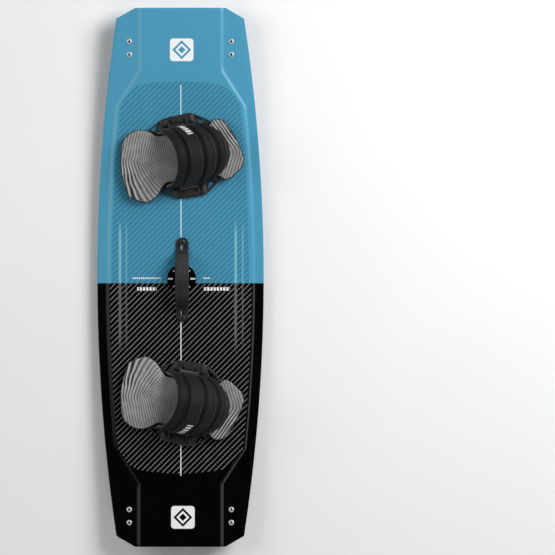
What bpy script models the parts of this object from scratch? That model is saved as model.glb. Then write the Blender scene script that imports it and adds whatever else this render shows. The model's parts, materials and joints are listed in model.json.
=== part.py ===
"""Kiteboard: a twin-tip board with two strap bindings, a grab handle and four fins.

Metres.  +X runs across the board, +Y towards the nose and +Z up.  The board stands on the
tips of its fins, and the origin is on the floor under the middle of its outline.
"""

import math

import bmesh
import bpy
from mathutils import Matrix, Vector

GAP = 0.0003                      # air between pieces that touch on the real board
CUT_ABOVE = 0.03                  # a cutter reaches this far out of what it cuts

# Outline of the board
HALF_LENGTH = 0.670
HALF_WIDTH = 0.2075
RAIL_CURVE = 0.1174               # half-width lost, per metre squared from the middle
TIP_HALF_WIDTH = 0.1125
CORNER_RUN = 1.751                # metres across for each metre along a cut corner
ROWS = (0.0, 0.09, 0.18, 0.27, 0.35, 0.427, 0.515, 0.58)
PLATFORM_CORNER = ROWS[5]         # where the raised platform starts to narrow
PLATFORM_NECK = ROWS[6]           # where it is as narrow as it gets
NECK_HALF_WIDTH = 0.097
PLATFORM_MARGIN = 0.0325          # from the rail in to the platform's edge
BEVEL_WIDTH = 0.012
BEVEL_DROP = 0.004

# Section of the board
BASE_LIFT = 0.018                 # middle of the base above the floor
ROCKER = 0.036
CONCAVE = 0.001
MIDDLE_THICKNESS = 0.0125
TIP_THICKNESS = 0.009
LAMINATE = 0.0008
SKIN = LAMINATE + GAP             # depth at which the core begins
SIDEWALL = 0.010
SIDEWALL_SPLIT = 0.630            # where the side strips meet the tip strips

# Fasteners
TURNED_STEPS = 12
HEAD_RADIUS = 0.0055
HEAD_HEIGHT = 0.0032
SHAFT_RADIUS = 0.003
WASHER_RADIUS = 0.0062
WASHER_THICKNESS = 0.0012
INSERT_RADIUS = 0.005
INSERT_TOP = -0.0015
INSERT_BOTTOM = -0.0085
BORE_FLOOR = -0.0079
SCREW_TIP = -0.0075
POCKET_FLOOR = -0.009

# Fins
FIN_X = 0.130
FIN_SCREW_X = 0.127
FIN_SCREW_Y = 0.58235             # middle of a fin's two screws
FIN_SHIFT = -0.0117               # both ends sit this far towards the tail
FIN_SCREW_SPACING = 0.0324
FIN_SET_BACK = 0.0103             # the blade's middle is this far inboard of its screws
FIN_SECTIONS = (                  # share of the depth, length, thickness
    (0.0, 0.102, 0.0135),
    (0.12, 0.095, 0.0098),
    (0.5, 0.081, 0.0078),
    (0.85, 0.057, 0.0062),
    (1.0, 0.030, 0.0042),
)
FIN_POINTS = 12
FIN_HEAD_RADIUS = 0.00675
FIN_HEAD_HEIGHT = 0.0028
FIN_SHAFT_RADIUS = 0.002
FIN_SCREW_TIP = -0.015
FIN_BORE_FLOOR = -0.016

# Grab handle
HANDLE_X = 0.0045
HANDLE_Y = -0.0062
HANDLE_HALF_LENGTH = 0.1055
HANDLE_HALF_WIDTH = 0.0155
HANDLE_THICKNESS = 0.003
HANDLE_LIFT = 0.0028              # middle of a tab above the deck
HANDLE_RISE = 0.037
RISE_START = 0.082                # from the handle's middle
RISE_LENGTH = 0.045
TAB_ROUNDING = (0.0006, 0.003, 0.007, 0.0155)
HANDLE_STATIONS = (0.080, 0.071, 0.062, 0.054, 0.046, 0.036, 0.018, 0.0)
GRIP_STATIONS = HANDLE_STATIONS[2:]
GRIP_HALF_WIDTH = 0.0172
GRIP_HALF_HEIGHT = 0.0062
GRIP_CORNER = 0.0035
SLOT_INNER = 0.077
SLOT_OUTER = 0.094
HANDLE_SEAT = 0.0041              # under a handle washer, above the deck

# Bindings, in a frame on the deck: +X to the toes, +Y to the nearer end of the board
BINDING_X = 0.0085
BINDING_Y = 0.3087
BINDING_SHIFT = -0.0057
BINDING_YAW = math.radians(10)
PLATE_LIFT = 0.0016
PLATE_TOP = 0.0101
SLOT_FLOOR = 0.0041
SLOT_RADIUS = 0.0775
SLOT_SWEEP = math.radians(16)
RECESS_HALF_WIDTH = 0.0070
ARC_STEPS = 6
CAP_STEPS = 4
PLATE_OUTLINE = (
    (0.038, -0.106), (0.078, -0.077), (0.088, -0.058), (0.122, -0.040),
    (0.122, 0.040), (0.088, 0.058), (0.078, 0.077), (0.034, 0.104),
    (-0.037, 0.099), (-0.078, 0.077), (-0.092, 0.058), (-0.140, 0.050),
    (-0.140, -0.060), (-0.092, -0.066), (-0.078, -0.077), (-0.034, -0.104),
)
PLATE_WINDOW = ((0.070, 0.077), (0.042, 0.0945), (0.056, 0.070))
PAD_THICKNESS = 0.014
PAD_EDGE = 0.003
PAD_OUTLINE = (
    (-0.083, 0.080), (-0.104, 0.084), (-0.123, 0.079), (-0.143, 0.065), (-0.152, 0.041),
    (-0.161, -0.004), (-0.159, -0.046), (-0.153, -0.078), (-0.122, -0.097),
    (-0.106, -0.100), (-0.083, -0.089), (-0.066, -0.070), (-0.057, -0.060),
    (0.070, -0.060), (0.080, -0.066), (0.088, -0.0775), (0.1065, -0.0755),
    (0.140, -0.052), (0.148, -0.036), (0.1436, -0.009), (0.1346, 0.026),
    (0.118, 0.0665), (0.100, 0.0767), (0.086, 0.0755), (0.078, 0.068),
    (0.070, 0.060), (-0.057, 0.060), (-0.066, 0.069),
)

# Strap over the foot
STRAP_HALF_SPAN = 0.074
STRAP_LEG = 0.016
LEG_CLEARANCE = 0.0008
ANKLE_SIDE_X = -0.056
ANKLE_CREST_X = -0.014
ANKLE_HEIGHT = 0.095
TOE_SIDE_X = 0.038
TOE_CREST_X = 0.116
TOE_HEIGHT = 0.070
COVER_THICKNESS = 0.0037
COVER_GAP = 0.0006                # between the cover and the liner under it
LINER_THICKNESS = 0.005
STRAP_TURNS = 10
STRAP_BANDS = 4
HINGE_Y = 0.075
HINGE_Z = PLATE_TOP + 0.0075
BARREL_RADIUS = 0.0065
BARREL_HALF_LENGTH = 0.020
BAR_RADIUS = 0.0025

# Anchor clamps
CLAMP_HALF_WIDTH = 0.0255
CLAMP_THICKNESS = 0.004
CLAMP_OUTER_Y = 0.1015
CLAMP_NOTCH_Y = 0.0840
LUG_RADIUS = 0.0045
LUG_INNER_X = BARREL_HALF_LENGTH + 0.0005
ANCHOR_SCREW_X = 0.017
ANCHOR_SCREW_Y = 0.0895
ANCHOR_SHAFT_RADIUS = 0.002
ANCHOR_HEAD_RADIUS = 0.0037
ANCHOR_HEAD_HEIGHT = 0.0022
ANCHOR_SCREW_DEPTH = 0.0055
ANCHOR_BORE_DEPTH = 0.006

SURFACES = {                      # colour, roughness, metallic
    "board_blue": ((0.074, 0.309, 0.468), 0.35, 0.0),
    "board_black": ((0.012, 0.012, 0.013), 0.35, 0.0),
    "core_wood": ((0.62, 0.45, 0.27), 0.7, 0.0),
    "sidewall_black": ((0.015, 0.015, 0.016), 0.5, 0.0),
    "fin_black": ((0.02, 0.02, 0.022), 0.4, 0.0),
    "stainless": ((0.62, 0.62, 0.60), 0.28, 1.0),
    "insert_brass": ((0.70, 0.52, 0.25), 0.35, 1.0),
    "black_screw": ((0.03, 0.03, 0.03), 0.4, 1.0),
    "webbing": ((0.02, 0.02, 0.021), 0.85, 0.0),
    "handle_grip": ((0.026, 0.026, 0.028), 0.6, 0.0),
    "plate_black": ((0.012, 0.012, 0.012), 0.45, 0.0),
    "pad_grey": ((0.20, 0.20, 0.20), 0.8, 0.0),
    "strap_black": ((0.018, 0.018, 0.018), 0.55, 0.0),
    "liner_black": ((0.012, 0.012, 0.012), 0.8, 0.0),
}


def clear_scene():
    for obj in list(bpy.data.objects):
        bpy.data.objects.remove(obj, do_unlink=True)


def new_collection(name):
    collection = bpy.data.collections.new(name)
    bpy.context.scene.collection.children.link(collection)
    return collection


def surface(name):
    """The material of this name, made on its first use."""
    if name in bpy.data.materials:
        return bpy.data.materials[name]
    colour, roughness, metallic = SURFACES[name]
    material = bpy.data.materials.new(name)
    material.use_nodes = True
    shader = material.node_tree.nodes["Principled BSDF"]
    shader.inputs["Base Color"].default_value = (*colour, 1.0)
    shader.inputs["Roughness"].default_value = roughness
    shader.inputs["Metallic"].default_value = metallic
    return material


def add_part(name, mesh, material, parent=None, location=(0, 0, 0)):
    obj = bpy.data.objects.new(name, mesh)
    mesh.materials.append(surface(material))
    parts.objects.link(obj)
    obj.parent = parent
    obj.location = location
    return obj


def add_tool(name, mesh, parent=None, location=(0, 0, 0)):
    """A solid that only cuts or joins others."""
    obj = bpy.data.objects.new(name, mesh)
    tools.objects.link(obj)
    obj.parent = parent
    obj.location = location
    obj.hide_render = True
    obj.display_type = "WIRE"
    return obj


def add_empty(name, frame):
    obj = bpy.data.objects.new(name, None)
    parts.objects.link(obj)
    obj.empty_display_size = 0.03
    obj.matrix_world = frame
    return obj


def combine(obj, tool, operation="DIFFERENCE"):
    modifier = obj.modifiers.new(tool.name, "BOOLEAN")
    modifier.object = tool
    modifier.operation = operation
    modifier.solver = "EXACT"


def shade_smooth(obj, angle=40):
    obj.data.shade_smooth()
    obj.data.set_sharp_from_angle(angle=math.radians(angle))


def to_mesh(draft):
    bmesh.ops.recalc_face_normals(draft, faces=draft.faces)
    mesh = bpy.data.meshes.new("solid")
    draft.to_mesh(mesh)
    draft.free()
    return mesh


def between(start, end, share):
    return start + (end - start) * share


def clamp(value):
    return min(max(value, 0.0), 1.0)


def polar(radius, angle):
    return Vector((radius * math.cos(angle), radius * math.sin(angle)))


# --- Shape of the board ---------------------------------------------------------------

def rail(y, inset=0.0):
    """Half-width of the outline at y, drawn in by inset."""
    side = HALF_WIDTH - RAIL_CURVE * y * y - inset
    slant = math.hypot(1, CORNER_RUN)
    corner = TIP_HALF_WIDTH + CORNER_RUN * (HALF_LENGTH - abs(y)) - inset * slant
    return min(side, corner)


def shoulder(inset=0.0):
    """Where the curved rail meets the cut corner: the root of rail's two halves."""
    slant = math.hypot(1, CORNER_RUN)
    constant = TIP_HALF_WIDTH + CORNER_RUN * HALF_LENGTH - HALF_WIDTH - inset * (slant - 1)
    root = math.sqrt(CORNER_RUN ** 2 - 4 * RAIL_CURVE * constant)
    return (CORNER_RUN - root) / (2 * RAIL_CURVE)


def platform_edge(y):
    """Distance from the centre line to the top of the platform's bevel."""
    corner = rail(PLATFORM_CORNER) - PLATFORM_MARGIN
    share = clamp((abs(y) - PLATFORM_CORNER) / (PLATFORM_NECK - PLATFORM_CORNER))
    if share == 0:
        return rail(y) - PLATFORM_MARGIN
    return between(corner, NECK_HALF_WIDTH, share)


def fullness(y):
    """1 in the middle of the board, 0 at its tips."""
    return 1 - (y / HALF_LENGTH) ** 2


def base_height(x, y):
    rocker = ROCKER * (1 - fullness(y))
    return BASE_LIFT + rocker - CONCAVE * fullness(y) * (x / HALF_WIDTH) ** 2


def deck_height(x, y):
    rocker = ROCKER * (1 - fullness(y))
    thickness = between(TIP_THICKNESS, MIDDLE_THICKNESS, fullness(y))
    bevel = clamp((abs(x) - platform_edge(y)) / BEVEL_WIDTH)
    return BASE_LIFT + rocker + thickness - BEVEL_DROP * bevel


def core_top(x, y):
    return deck_height(x, y) - SKIN


def core_bottom(x, y):
    return base_height(x, y) + SKIN


def deck_frame(x, y, yaw=0.0):
    """A frame on the deck, +Z along its normal, turned by yaw about that normal."""
    step = 0.001
    slope = (deck_height(x, y + step) - deck_height(x, y - step)) / (2 * step)
    tilt = Matrix.Rotation(math.atan(slope), 4, "X")
    place = Matrix.Translation((x, y, deck_height(x, y)))
    return place @ tilt @ Matrix.Rotation(yaw, 4, "Z")


def layer_mesh(inset, top, bottom):
    """One layer of the board: a grid along the outline and the bevel, given its thickness."""
    half = [*ROWS, shoulder(inset), HALF_LENGTH - inset]
    rows = sorted({sign * row for row in half for sign in (-1, 1)})
    columns = 9
    draft = bmesh.new()
    bmesh.ops.create_grid(draft, x_segments=columns - 1, y_segments=len(rows) - 1, size=0.5)
    for vertex in draft.verts:
        y = rows[round((vertex.co.y + 0.5) * (len(rows) - 1))]
        edge = platform_edge(y)
        lines = (0, edge / 2, edge, edge + BEVEL_WIDTH, rail(y, inset))
        column = round((vertex.co.x + 0.5) * (columns - 1)) - columns // 2
        x = math.copysign(lines[abs(column)], column)
        vertex.co = (x, y, top(x, y))
    grown = bmesh.ops.extrude_face_region(draft, geom=draft.faces[:])["geom"]
    for vertex in [item for item in grown if isinstance(item, bmesh.types.BMVert)]:
        vertex.co.z = bottom(vertex.co.x, vertex.co.y)
    return to_mesh(draft)


def loft_mesh(rings):
    """A solid through rings of equal length, closed at both ends."""
    draft = bmesh.new()
    loops = [[draft.verts.new(point) for point in ring] for ring in rings]
    for near, far in zip(loops, loops[1:]):
        for i, corner in enumerate(near):
            j = (i + 1) % len(near)
            draft.faces.new((corner, near[j], far[j], far[i]))
    draft.faces.new(loops[0])
    draft.faces.new(loops[-1])
    bmesh.ops.triangulate(draft, faces=draft.faces, quad_method="SHORT_EDGE")
    return to_mesh(draft)


def prism_mesh(loops, bottom, top):
    """A flat outline, less the outlines inside it, from one height to another."""
    curve = bpy.data.curves.new("outline", "CURVE")
    curve.dimensions = "2D"
    curve.fill_mode = "BOTH"
    curve.extrude = (top - bottom) / 2
    for loop in loops:
        spline = curve.splines.new("POLY")
        spline.points.add(len(loop) - 1)
        spline.use_cyclic_u = True
        for point, (x, y) in zip(spline.points, loop):
            point.co = (x, y, 0, 1)
    holder = bpy.data.objects.new("outline", curve)
    tools.objects.link(holder)
    graph = bpy.context.evaluated_depsgraph_get()
    flat = bpy.data.meshes.new_from_object(holder.evaluated_get(graph))
    bpy.data.objects.remove(holder, do_unlink=True)
    draft = bmesh.new()
    draft.from_mesh(flat)
    bmesh.ops.remove_doubles(draft, verts=draft.verts, dist=1e-6)
    bmesh.ops.translate(draft, verts=draft.verts, vec=(0, 0, (bottom + top) / 2))
    return to_mesh(draft)


def cylinder_mesh(radius, bottom, top, frames):
    """A cylinder along +Z in each frame, all in one mesh."""
    draft = bmesh.new()
    middle = Matrix.Translation((0, 0, (bottom + top) / 2))
    for frame in frames:
        bmesh.ops.create_cone(
            draft, cap_ends=True, segments=TURNED_STEPS, radius1=radius, radius2=radius,
            depth=top - bottom, matrix=frame @ middle)
    return to_mesh(draft)


def joined(meshes):
    draft = bmesh.new()
    for mesh in meshes:
        draft.from_mesh(mesh)
    return to_mesh(draft)


def turned(name, profile, material, parent, closed=False):
    """A round piece: its profile of radius and height, outer side downwards, spun about +Z."""
    mesh = bpy.data.meshes.new("profile")
    last = len(profile) - 1
    edges = [(i, i + 1) for i in range(last)]
    if closed:
        edges.append((last, 0))
    mesh.from_pydata([(radius, 0, height) for radius, height in profile], edges, [])
    obj = add_part(name, mesh, material, parent)
    screw = obj.modifiers.new("turn", "SCREW")
    screw.steps = TURNED_STEPS
    screw.render_steps = TURNED_STEPS
    screw.use_merge_vertices = True
    screw.merge_threshold = 1e-5
    screw.use_smooth_shade = True


def add_screw(name, parent, head_radius, head_height, shaft_radius, seat, tip, material):
    """A pan-head screw whose head rests at seat and whose shaft ends at tip."""
    top = seat + head_height
    profile = (
        (0, top), (head_radius * 0.6, top - head_height * 0.1),
        (head_radius * 0.92, top - head_height * 0.4), (head_radius, seat),
        (shaft_radius, seat), (shaft_radius, tip), (0, tip),
    )
    turned(name, profile, material, parent)


def add_mount(prefix, frame, seat):
    """A threaded insert in the core, with the screw and washer that go into it."""
    empty = add_empty(prefix + "_seat", frame)
    bore = SHAFT_RADIUS + GAP
    insert = (
        (0, BORE_FLOOR), (bore, BORE_FLOOR), (bore, INSERT_TOP),
        (INSERT_RADIUS, INSERT_TOP), (INSERT_RADIUS, INSERT_BOTTOM), (0, INSERT_BOTTOM),
    )
    turned(prefix + "_insert", insert, "insert_brass", empty)
    washer_top = seat + WASHER_THICKNESS
    washer = ((WASHER_RADIUS, washer_top), (WASHER_RADIUS, seat), (bore, seat), (bore, washer_top))
    turned(prefix + "_washer", washer, "stainless", empty, closed=True)
    add_screw(prefix + "_screw", empty, HEAD_RADIUS, HEAD_HEIGHT, SHAFT_RADIUS,
              washer_top + GAP, SCREW_TIP, "black_screw")


# --- Where things sit on the board ----------------------------------------------------

ENDS = {"nose": 1, "tail": -1}
SIDES = {"left": -1, "right": 1}
BINDINGS = {"front": 1, "rear": -1}


def fin_screw_frames():
    """A frame on the deck for each fin screw, by name."""
    frames = {}
    for end, along in ENDS.items():
        for side, across in SIDES.items():
            for place, step in (("inner", -1), ("outer", 1)):
                y = along * (FIN_SCREW_Y + step * FIN_SCREW_SPACING / 2) + FIN_SHIFT
                name = f"fin_screw_{end}_{side}_{place}"
                frames[name] = deck_frame(across * FIN_SCREW_X, y)
    return frames


def mount_frames():
    """A frame on the deck and a washer height for each threaded insert, by name."""
    frames = {}
    for end, along in ENDS.items():
        y = HANDLE_Y + along * SLOT_OUTER
        frames[f"handle_{end}"] = (deck_frame(HANDLE_X, y), HANDLE_SEAT)
    for name, along in BINDINGS.items():
        centre = deck_frame(BINDING_X, along * BINDING_Y + BINDING_SHIFT)
        for place, step in (("heel", -1), ("toe", 1)):
            frame = centre @ Matrix.Translation((step * SLOT_RADIUS, 0, 0))
            frames[f"{name}_{place}"] = (frame, SLOT_FLOOR + GAP)
    return frames


# --- The board ------------------------------------------------------------------------

def sidewall_ring(outer, inner):
    """Section of a sidewall strip between a point on the outline and one inside it."""
    return (
        (*outer, core_top(*outer)), (*inner, core_top(*inner)),
        (*inner, core_bottom(*inner)), (*outer, core_bottom(*outer)),
    )


def side_strip_mesh(across):
    rows = sorted({sign * row for row in (*ROWS, SIDEWALL_SPLIT) for sign in (-1, 1)})
    rings = []
    for y in rows:
        outer = (across * rail(y), y)
        inner = (across * rail(y, SIDEWALL), y)
        rings.append(sidewall_ring(outer, inner))
    return loft_mesh(rings)


def tip_strip_mesh(along):
    start = SIDEWALL_SPLIT + GAP
    inner_tip = HALF_LENGTH - SIDEWALL
    bevel_lines = (NECK_HALF_WIDTH + BEVEL_WIDTH, NECK_HALF_WIDTH)
    half = [((rail(start), start), (rail(start, SIDEWALL), start))]
    outer_y = shoulder()
    inner_y = shoulder(SIDEWALL)
    half.append(((rail(outer_y), outer_y), (rail(inner_y, SIDEWALL), inner_y)))
    half.append(((TIP_HALF_WIDTH, HALF_LENGTH), (rail(inner_tip, SIDEWALL), inner_tip)))
    half += [((x, HALF_LENGTH), (x, inner_tip)) for x in bevel_lines]
    stations = [(1, pair) for pair in half] + [(-1, pair) for pair in reversed(half)]
    rings = []
    for across, (outer, inner) in stations:
        rings.append(sidewall_ring((across * outer[0], along * outer[1]),
                                   (across * inner[0], along * inner[1])))
    return loft_mesh(rings)


def build_board():
    frames = fin_screw_frames().values()
    fin_bores = add_tool("fin_screw_bores", cylinder_mesh(
        FIN_SHAFT_RADIUS + GAP, FIN_BORE_FLOOR, CUT_ABOVE, frames))
    mounts = [frame for frame, seat in mount_frames().values()]
    pockets = add_tool("insert_pockets", cylinder_mesh(
        INSERT_RADIUS + GAP, POCKET_FLOOR, CUT_ABOVE, mounts))
    openings = add_tool("insert_openings", cylinder_mesh(
        SHAFT_RADIUS + 2 * GAP, -2 * SKIN, CUT_ABOVE, mounts))

    core = add_part("core", layer_mesh(SIDEWALL + GAP, core_top, core_bottom), "core_wood")
    combine(core, fin_bores)
    combine(core, pockets)
    deck = add_part("deck_laminate", layer_mesh(
        0.0, deck_height, lambda x, y: deck_height(x, y) - LAMINATE), "board_blue")
    combine(deck, fin_bores)
    combine(deck, openings)
    base = add_part("base_laminate", layer_mesh(
        0.0, lambda x, y: base_height(x, y) + LAMINATE, base_height), "board_black")
    combine(base, fin_bores)

    for side, across in SIDES.items():
        add_part(f"sidewall_{side}", side_strip_mesh(across), "sidewall_black")
    for end, along in ENDS.items():
        add_part(f"sidewall_{end}", tip_strip_mesh(along), "sidewall_black")
    return fin_bores


def fin_mesh(x, y):
    """A blade under the base at x, y, down to a short flat edge on the floor."""
    rings = []
    for depth, length, thickness in FIN_SECTIONS:
        ring = []
        for i in range(FIN_POINTS):
            turn = 2 * math.pi * i / FIN_POINTS
            across = x + thickness / 2 * math.sin(turn)
            along = y + length / 2 * math.cos(turn)
            ring.append((across, along, (1 - depth) * (base_height(across, along) - GAP)))
        rings.append(ring)
    return loft_mesh(rings)


def build_fins(fin_bores):
    for end, along in ENDS.items():
        y = along * (FIN_SCREW_Y - FIN_SET_BACK) + FIN_SHIFT
        for side, across in SIDES.items():
            fin = add_part(f"fin_{end}_{side}", fin_mesh(across * FIN_X, y), "fin_black")
            shade_smooth(fin)
            combine(fin, fin_bores)
    for name, frame in fin_screw_frames().items():
        empty = add_empty(name + "_seat", frame)
        add_screw(name, empty, FIN_HEAD_RADIUS, FIN_HEAD_HEIGHT, FIN_SHAFT_RADIUS,
                  GAP, FIN_SCREW_TIP, "stainless")


# --- The grab handle ------------------------------------------------------------------

def handle_height(y):
    """Middle of the handle's strap above the deck: flat tabs and a flat-topped arch."""
    share = clamp((RISE_START - abs(y)) / RISE_LENGTH)
    return HANDLE_LIFT + HANDLE_RISE * share * share * (3 - 2 * share)


def handle_ring(y, section):
    """A section of the handle at y, square to the strap's path."""
    step = 0.001
    slope = (handle_height(y + step) - handle_height(y - step)) / (2 * step)
    up = Vector((0, -math.sin(math.atan(slope)), math.cos(math.atan(slope))))
    middle = Vector((0, y, handle_height(y)))
    return [middle + Vector((across, 0, 0)) + up * height for across, height in section]


def strap_section(half_width, half_height):
    return [(half_width, half_height), (-half_width, half_height),
            (-half_width, -half_height), (half_width, -half_height)]


def grip_section():
    inner_x = GRIP_HALF_WIDTH - GRIP_CORNER
    inner_z = GRIP_HALF_HEIGHT - GRIP_CORNER
    return [
        (inner_x, GRIP_HALF_HEIGHT), (-inner_x, GRIP_HALF_HEIGHT),
        (-GRIP_HALF_WIDTH, inner_z), (-GRIP_HALF_WIDTH, -inner_z),
        (-inner_x, -GRIP_HALF_HEIGHT), (inner_x, -GRIP_HALF_HEIGHT),
        (GRIP_HALF_WIDTH, -inner_z), (GRIP_HALF_WIDTH, inner_z),
    ]


def both_ways(stations):
    """Positive stations given from the far end to zero, and their mirror images."""
    return [*stations, *(-station for station in reversed(stations[:-1]))]


def handle_strap_mesh():
    rings = []
    ends = [(HANDLE_HALF_LENGTH - step, step) for step in TAB_ROUNDING]
    middle = [(y, TAB_ROUNDING[-1]) for y in HANDLE_STATIONS]
    stations = ends + middle
    for y, step in stations + [(-y, step) for y, step in reversed(stations[:-1])]:
        lost = 1 - step / TAB_ROUNDING[-1]
        half_width = HANDLE_HALF_WIDTH * math.sqrt(1 - lost * lost)
        rings.append(handle_ring(y, strap_section(half_width, HANDLE_THICKNESS / 2)))
    return loft_mesh(rings)


def slot_loop(inner, outer, half_width):
    """A straight slot along Y with round ends."""
    loop = []
    for middle, start in ((outer, 0.0), (inner, math.pi)):
        for i in range(CAP_STEPS + 1):
            rim = polar(half_width, start + math.pi * i / CAP_STEPS)
            loop.append((rim.x, middle + rim.y))
    return loop


def build_handle():
    seat = add_empty("handle_seat", deck_frame(HANDLE_X, HANDLE_Y))
    strap = add_part("handle_strap", handle_strap_mesh(), "webbing", seat)
    slot = slot_loop(SLOT_INNER, SLOT_OUTER, SHAFT_RADIUS + GAP)
    tail_slot = [(x, -y) for x, y in slot]
    slots = joined(prism_mesh([loop], 0.0, CUT_ABOVE) for loop in (slot, tail_slot))
    combine(strap, add_tool("handle_slots", slots, seat))

    grip = add_part("handle_grip", loft_mesh(
        [handle_ring(y, grip_section()) for y in both_ways(GRIP_STATIONS)]), "handle_grip", seat)
    tunnel = strap_section(HANDLE_HALF_WIDTH + GAP, HANDLE_THICKNESS / 2 + GAP)
    stations = both_ways(HANDLE_STATIONS[1:])
    combine(grip, add_tool("handle_grip_tunnel", loft_mesh(
        [handle_ring(y, tunnel) for y in stations]), seat))


# --- The bindings ---------------------------------------------------------------------

def arc_slot(direction, half_width):
    """A slot bent about the binding's centre, with its middle in one direction."""
    start = direction - SLOT_SWEEP
    end = direction + SLOT_SWEEP
    sweep = [between(start, end, i / ARC_STEPS) for i in range(ARC_STEPS + 1)]
    caps = [math.pi * i / CAP_STEPS for i in range(1, CAP_STEPS)]
    loop = [polar(SLOT_RADIUS + half_width, angle) for angle in sweep]
    loop += [polar(SLOT_RADIUS, end) + polar(half_width, end + turn) for turn in caps]
    loop += [polar(SLOT_RADIUS - half_width, angle) for angle in reversed(sweep)]
    loop += [polar(SLOT_RADIUS, start) - polar(half_width, start + turn) for turn in caps]
    return [(point.x, point.y) for point in loop]


def mirrored(loop, along):
    return [(x, along * y) for x, y in loop]


def anchor_screw_places():
    return [(x, y) for x in (-ANCHOR_SCREW_X, ANCHOR_SCREW_X)
            for y in (-ANCHOR_SCREW_Y, ANCHOR_SCREW_Y)]


def add_baseplate(name, along, swivel):
    windows = [[(sx * x, sy * y) for x, y in PLATE_WINDOW] for sx in (-1, 1) for sy in (-1, 1)]
    slots = [arc_slot(direction, SHAFT_RADIUS + 2 * GAP) for direction in (0, math.pi)]
    loops = [mirrored(PLATE_OUTLINE, along), *windows, *slots]
    plate = add_part(f"{name}_baseplate", prism_mesh(loops, PLATE_LIFT, PLATE_TOP),
                     "plate_black", swivel)
    recesses = [prism_mesh([arc_slot(direction, RECESS_HALF_WIDTH)], SLOT_FLOOR, CUT_ABOVE)
                for direction in (0, math.pi)]
    bores = cylinder_mesh(
        ANCHOR_SHAFT_RADIUS + GAP, PLATE_TOP - ANCHOR_BORE_DEPTH, CUT_ABOVE,
        [Matrix.Translation((x, y, 0)) for x, y in anchor_screw_places()])
    combine(plate, add_tool(f"{name}_plate_pockets", joined([*recesses, bores]), swivel))


def add_footpad(name, along, swivel):
    bottom = PLATE_TOP + GAP
    pad = add_part(f"{name}_footpad", prism_mesh(
        [mirrored(PAD_OUTLINE, along)], bottom, bottom + PAD_THICKNESS), "pad_grey", swivel)
    bevel = pad.modifiers.new("round_edge", "BEVEL")
    bevel.width = PAD_EDGE
    bevel.segments = 2
    bevel.limit_method = "ANGLE"
    bevel.angle_limit = math.radians(80)
    bevel.use_clamp_overlap = False


def along_x(radius, half_length, y, z):
    """A cylinder along X about the line at y, z."""
    turn = Matrix.Rotation(math.pi / 2, 4, "Y")
    return cylinder_mesh(radius, -half_length, half_length, [Matrix.Translation((0, y, z)) @ turn])


def box_mesh(low, high):
    draft = bmesh.new()
    bmesh.ops.create_cube(draft, size=1)
    size = Vector(high) - Vector(low)
    bmesh.ops.scale(draft, vec=size, verts=draft.verts)
    bmesh.ops.translate(draft, vec=Vector(low) + size / 2, verts=draft.verts)
    return to_mesh(draft)


def clamp_profile():
    """Outline of an anchor clamp seen from its end: a foot and a round lug, y outwards."""
    low = PLATE_TOP + GAP
    foot = low + CLAMP_THICKNESS
    profile = [(HINGE_Y - LUG_RADIUS, low), (CLAMP_OUTER_Y, low), (CLAMP_OUTER_Y, foot),
               (HINGE_Y + LUG_RADIUS, foot)]
    for i in range(CAP_STEPS + 1):
        rim = polar(LUG_RADIUS, math.pi * i / CAP_STEPS)
        profile.append((HINGE_Y + rim.x, HINGE_Z + rim.y))
    return profile


def add_clamp(name, outward, swivel):
    """The clamp that anchors one end of the strap: two lugs and the bar between them."""
    mesh = prism_mesh([clamp_profile()], -CLAMP_HALF_WIDTH, CLAMP_HALF_WIDTH)
    mesh.transform(Matrix(((0, 0, 1, 0), (outward, 0, 0, 0), (0, 1, 0, 0), (0, 0, 0, 1))))
    if outward < 0:
        mesh.flip_normals()
    body = add_part(name, mesh, "plate_black", swivel)
    low, high = sorted((outward * (HINGE_Y - 2 * LUG_RADIUS), outward * CLAMP_NOTCH_Y))
    notch = box_mesh((-LUG_INNER_X, low, 0), (LUG_INNER_X, high, CUT_ABOVE))
    places = [(x, y) for x, y in anchor_screw_places() if y * outward > 0]
    bores = cylinder_mesh(ANCHOR_SHAFT_RADIUS + GAP, 0.0, CUT_ABOVE,
                          [Matrix.Translation((x, y, 0)) for x, y in places])
    combine(body, add_tool(name + "_openings", joined([notch, bores]), swivel))
    bar_end = (LUG_INNER_X + CLAMP_HALF_WIDTH) / 2
    bar = along_x(BAR_RADIUS, bar_end, outward * HINGE_Y, HINGE_Z)
    combine(body, add_tool(name + "_bar", bar, swivel), "UNION")
    for place, (x, y) in zip(("heel", "toe"), places):
        seat = PLATE_TOP + CLAMP_THICKNESS + 2 * GAP
        frame = swivel.matrix_world @ Matrix.Translation((x, y, seat))
        empty = add_empty(f"{name}_{place}_seat", frame)
        add_screw(f"{name}_screw_{place}", empty, ANCHOR_HEAD_RADIUS, ANCHOR_HEAD_HEIGHT,
                  ANCHOR_SHAFT_RADIUS, 0.0, PLATE_TOP - ANCHOR_SCREW_DEPTH - seat, "black_screw")


def strap_point(turn, share, depth, along):
    """A point of the strap: turn from its crest, share from ankle edge to toe edge."""
    side_x = between(ANKLE_SIDE_X, TOE_SIDE_X, share)
    crest_x = between(ANKLE_CREST_X, TOE_CREST_X, share)
    rise = between(ANKLE_HEIGHT, TOE_HEIGHT, share) - STRAP_LEG - depth
    crest = math.cos(turn)
    return Vector((between(side_x, crest_x, crest),
                   along * (STRAP_HALF_SPAN - depth) * math.sin(turn),
                   PLATE_TOP + STRAP_LEG + rise * crest))


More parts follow.
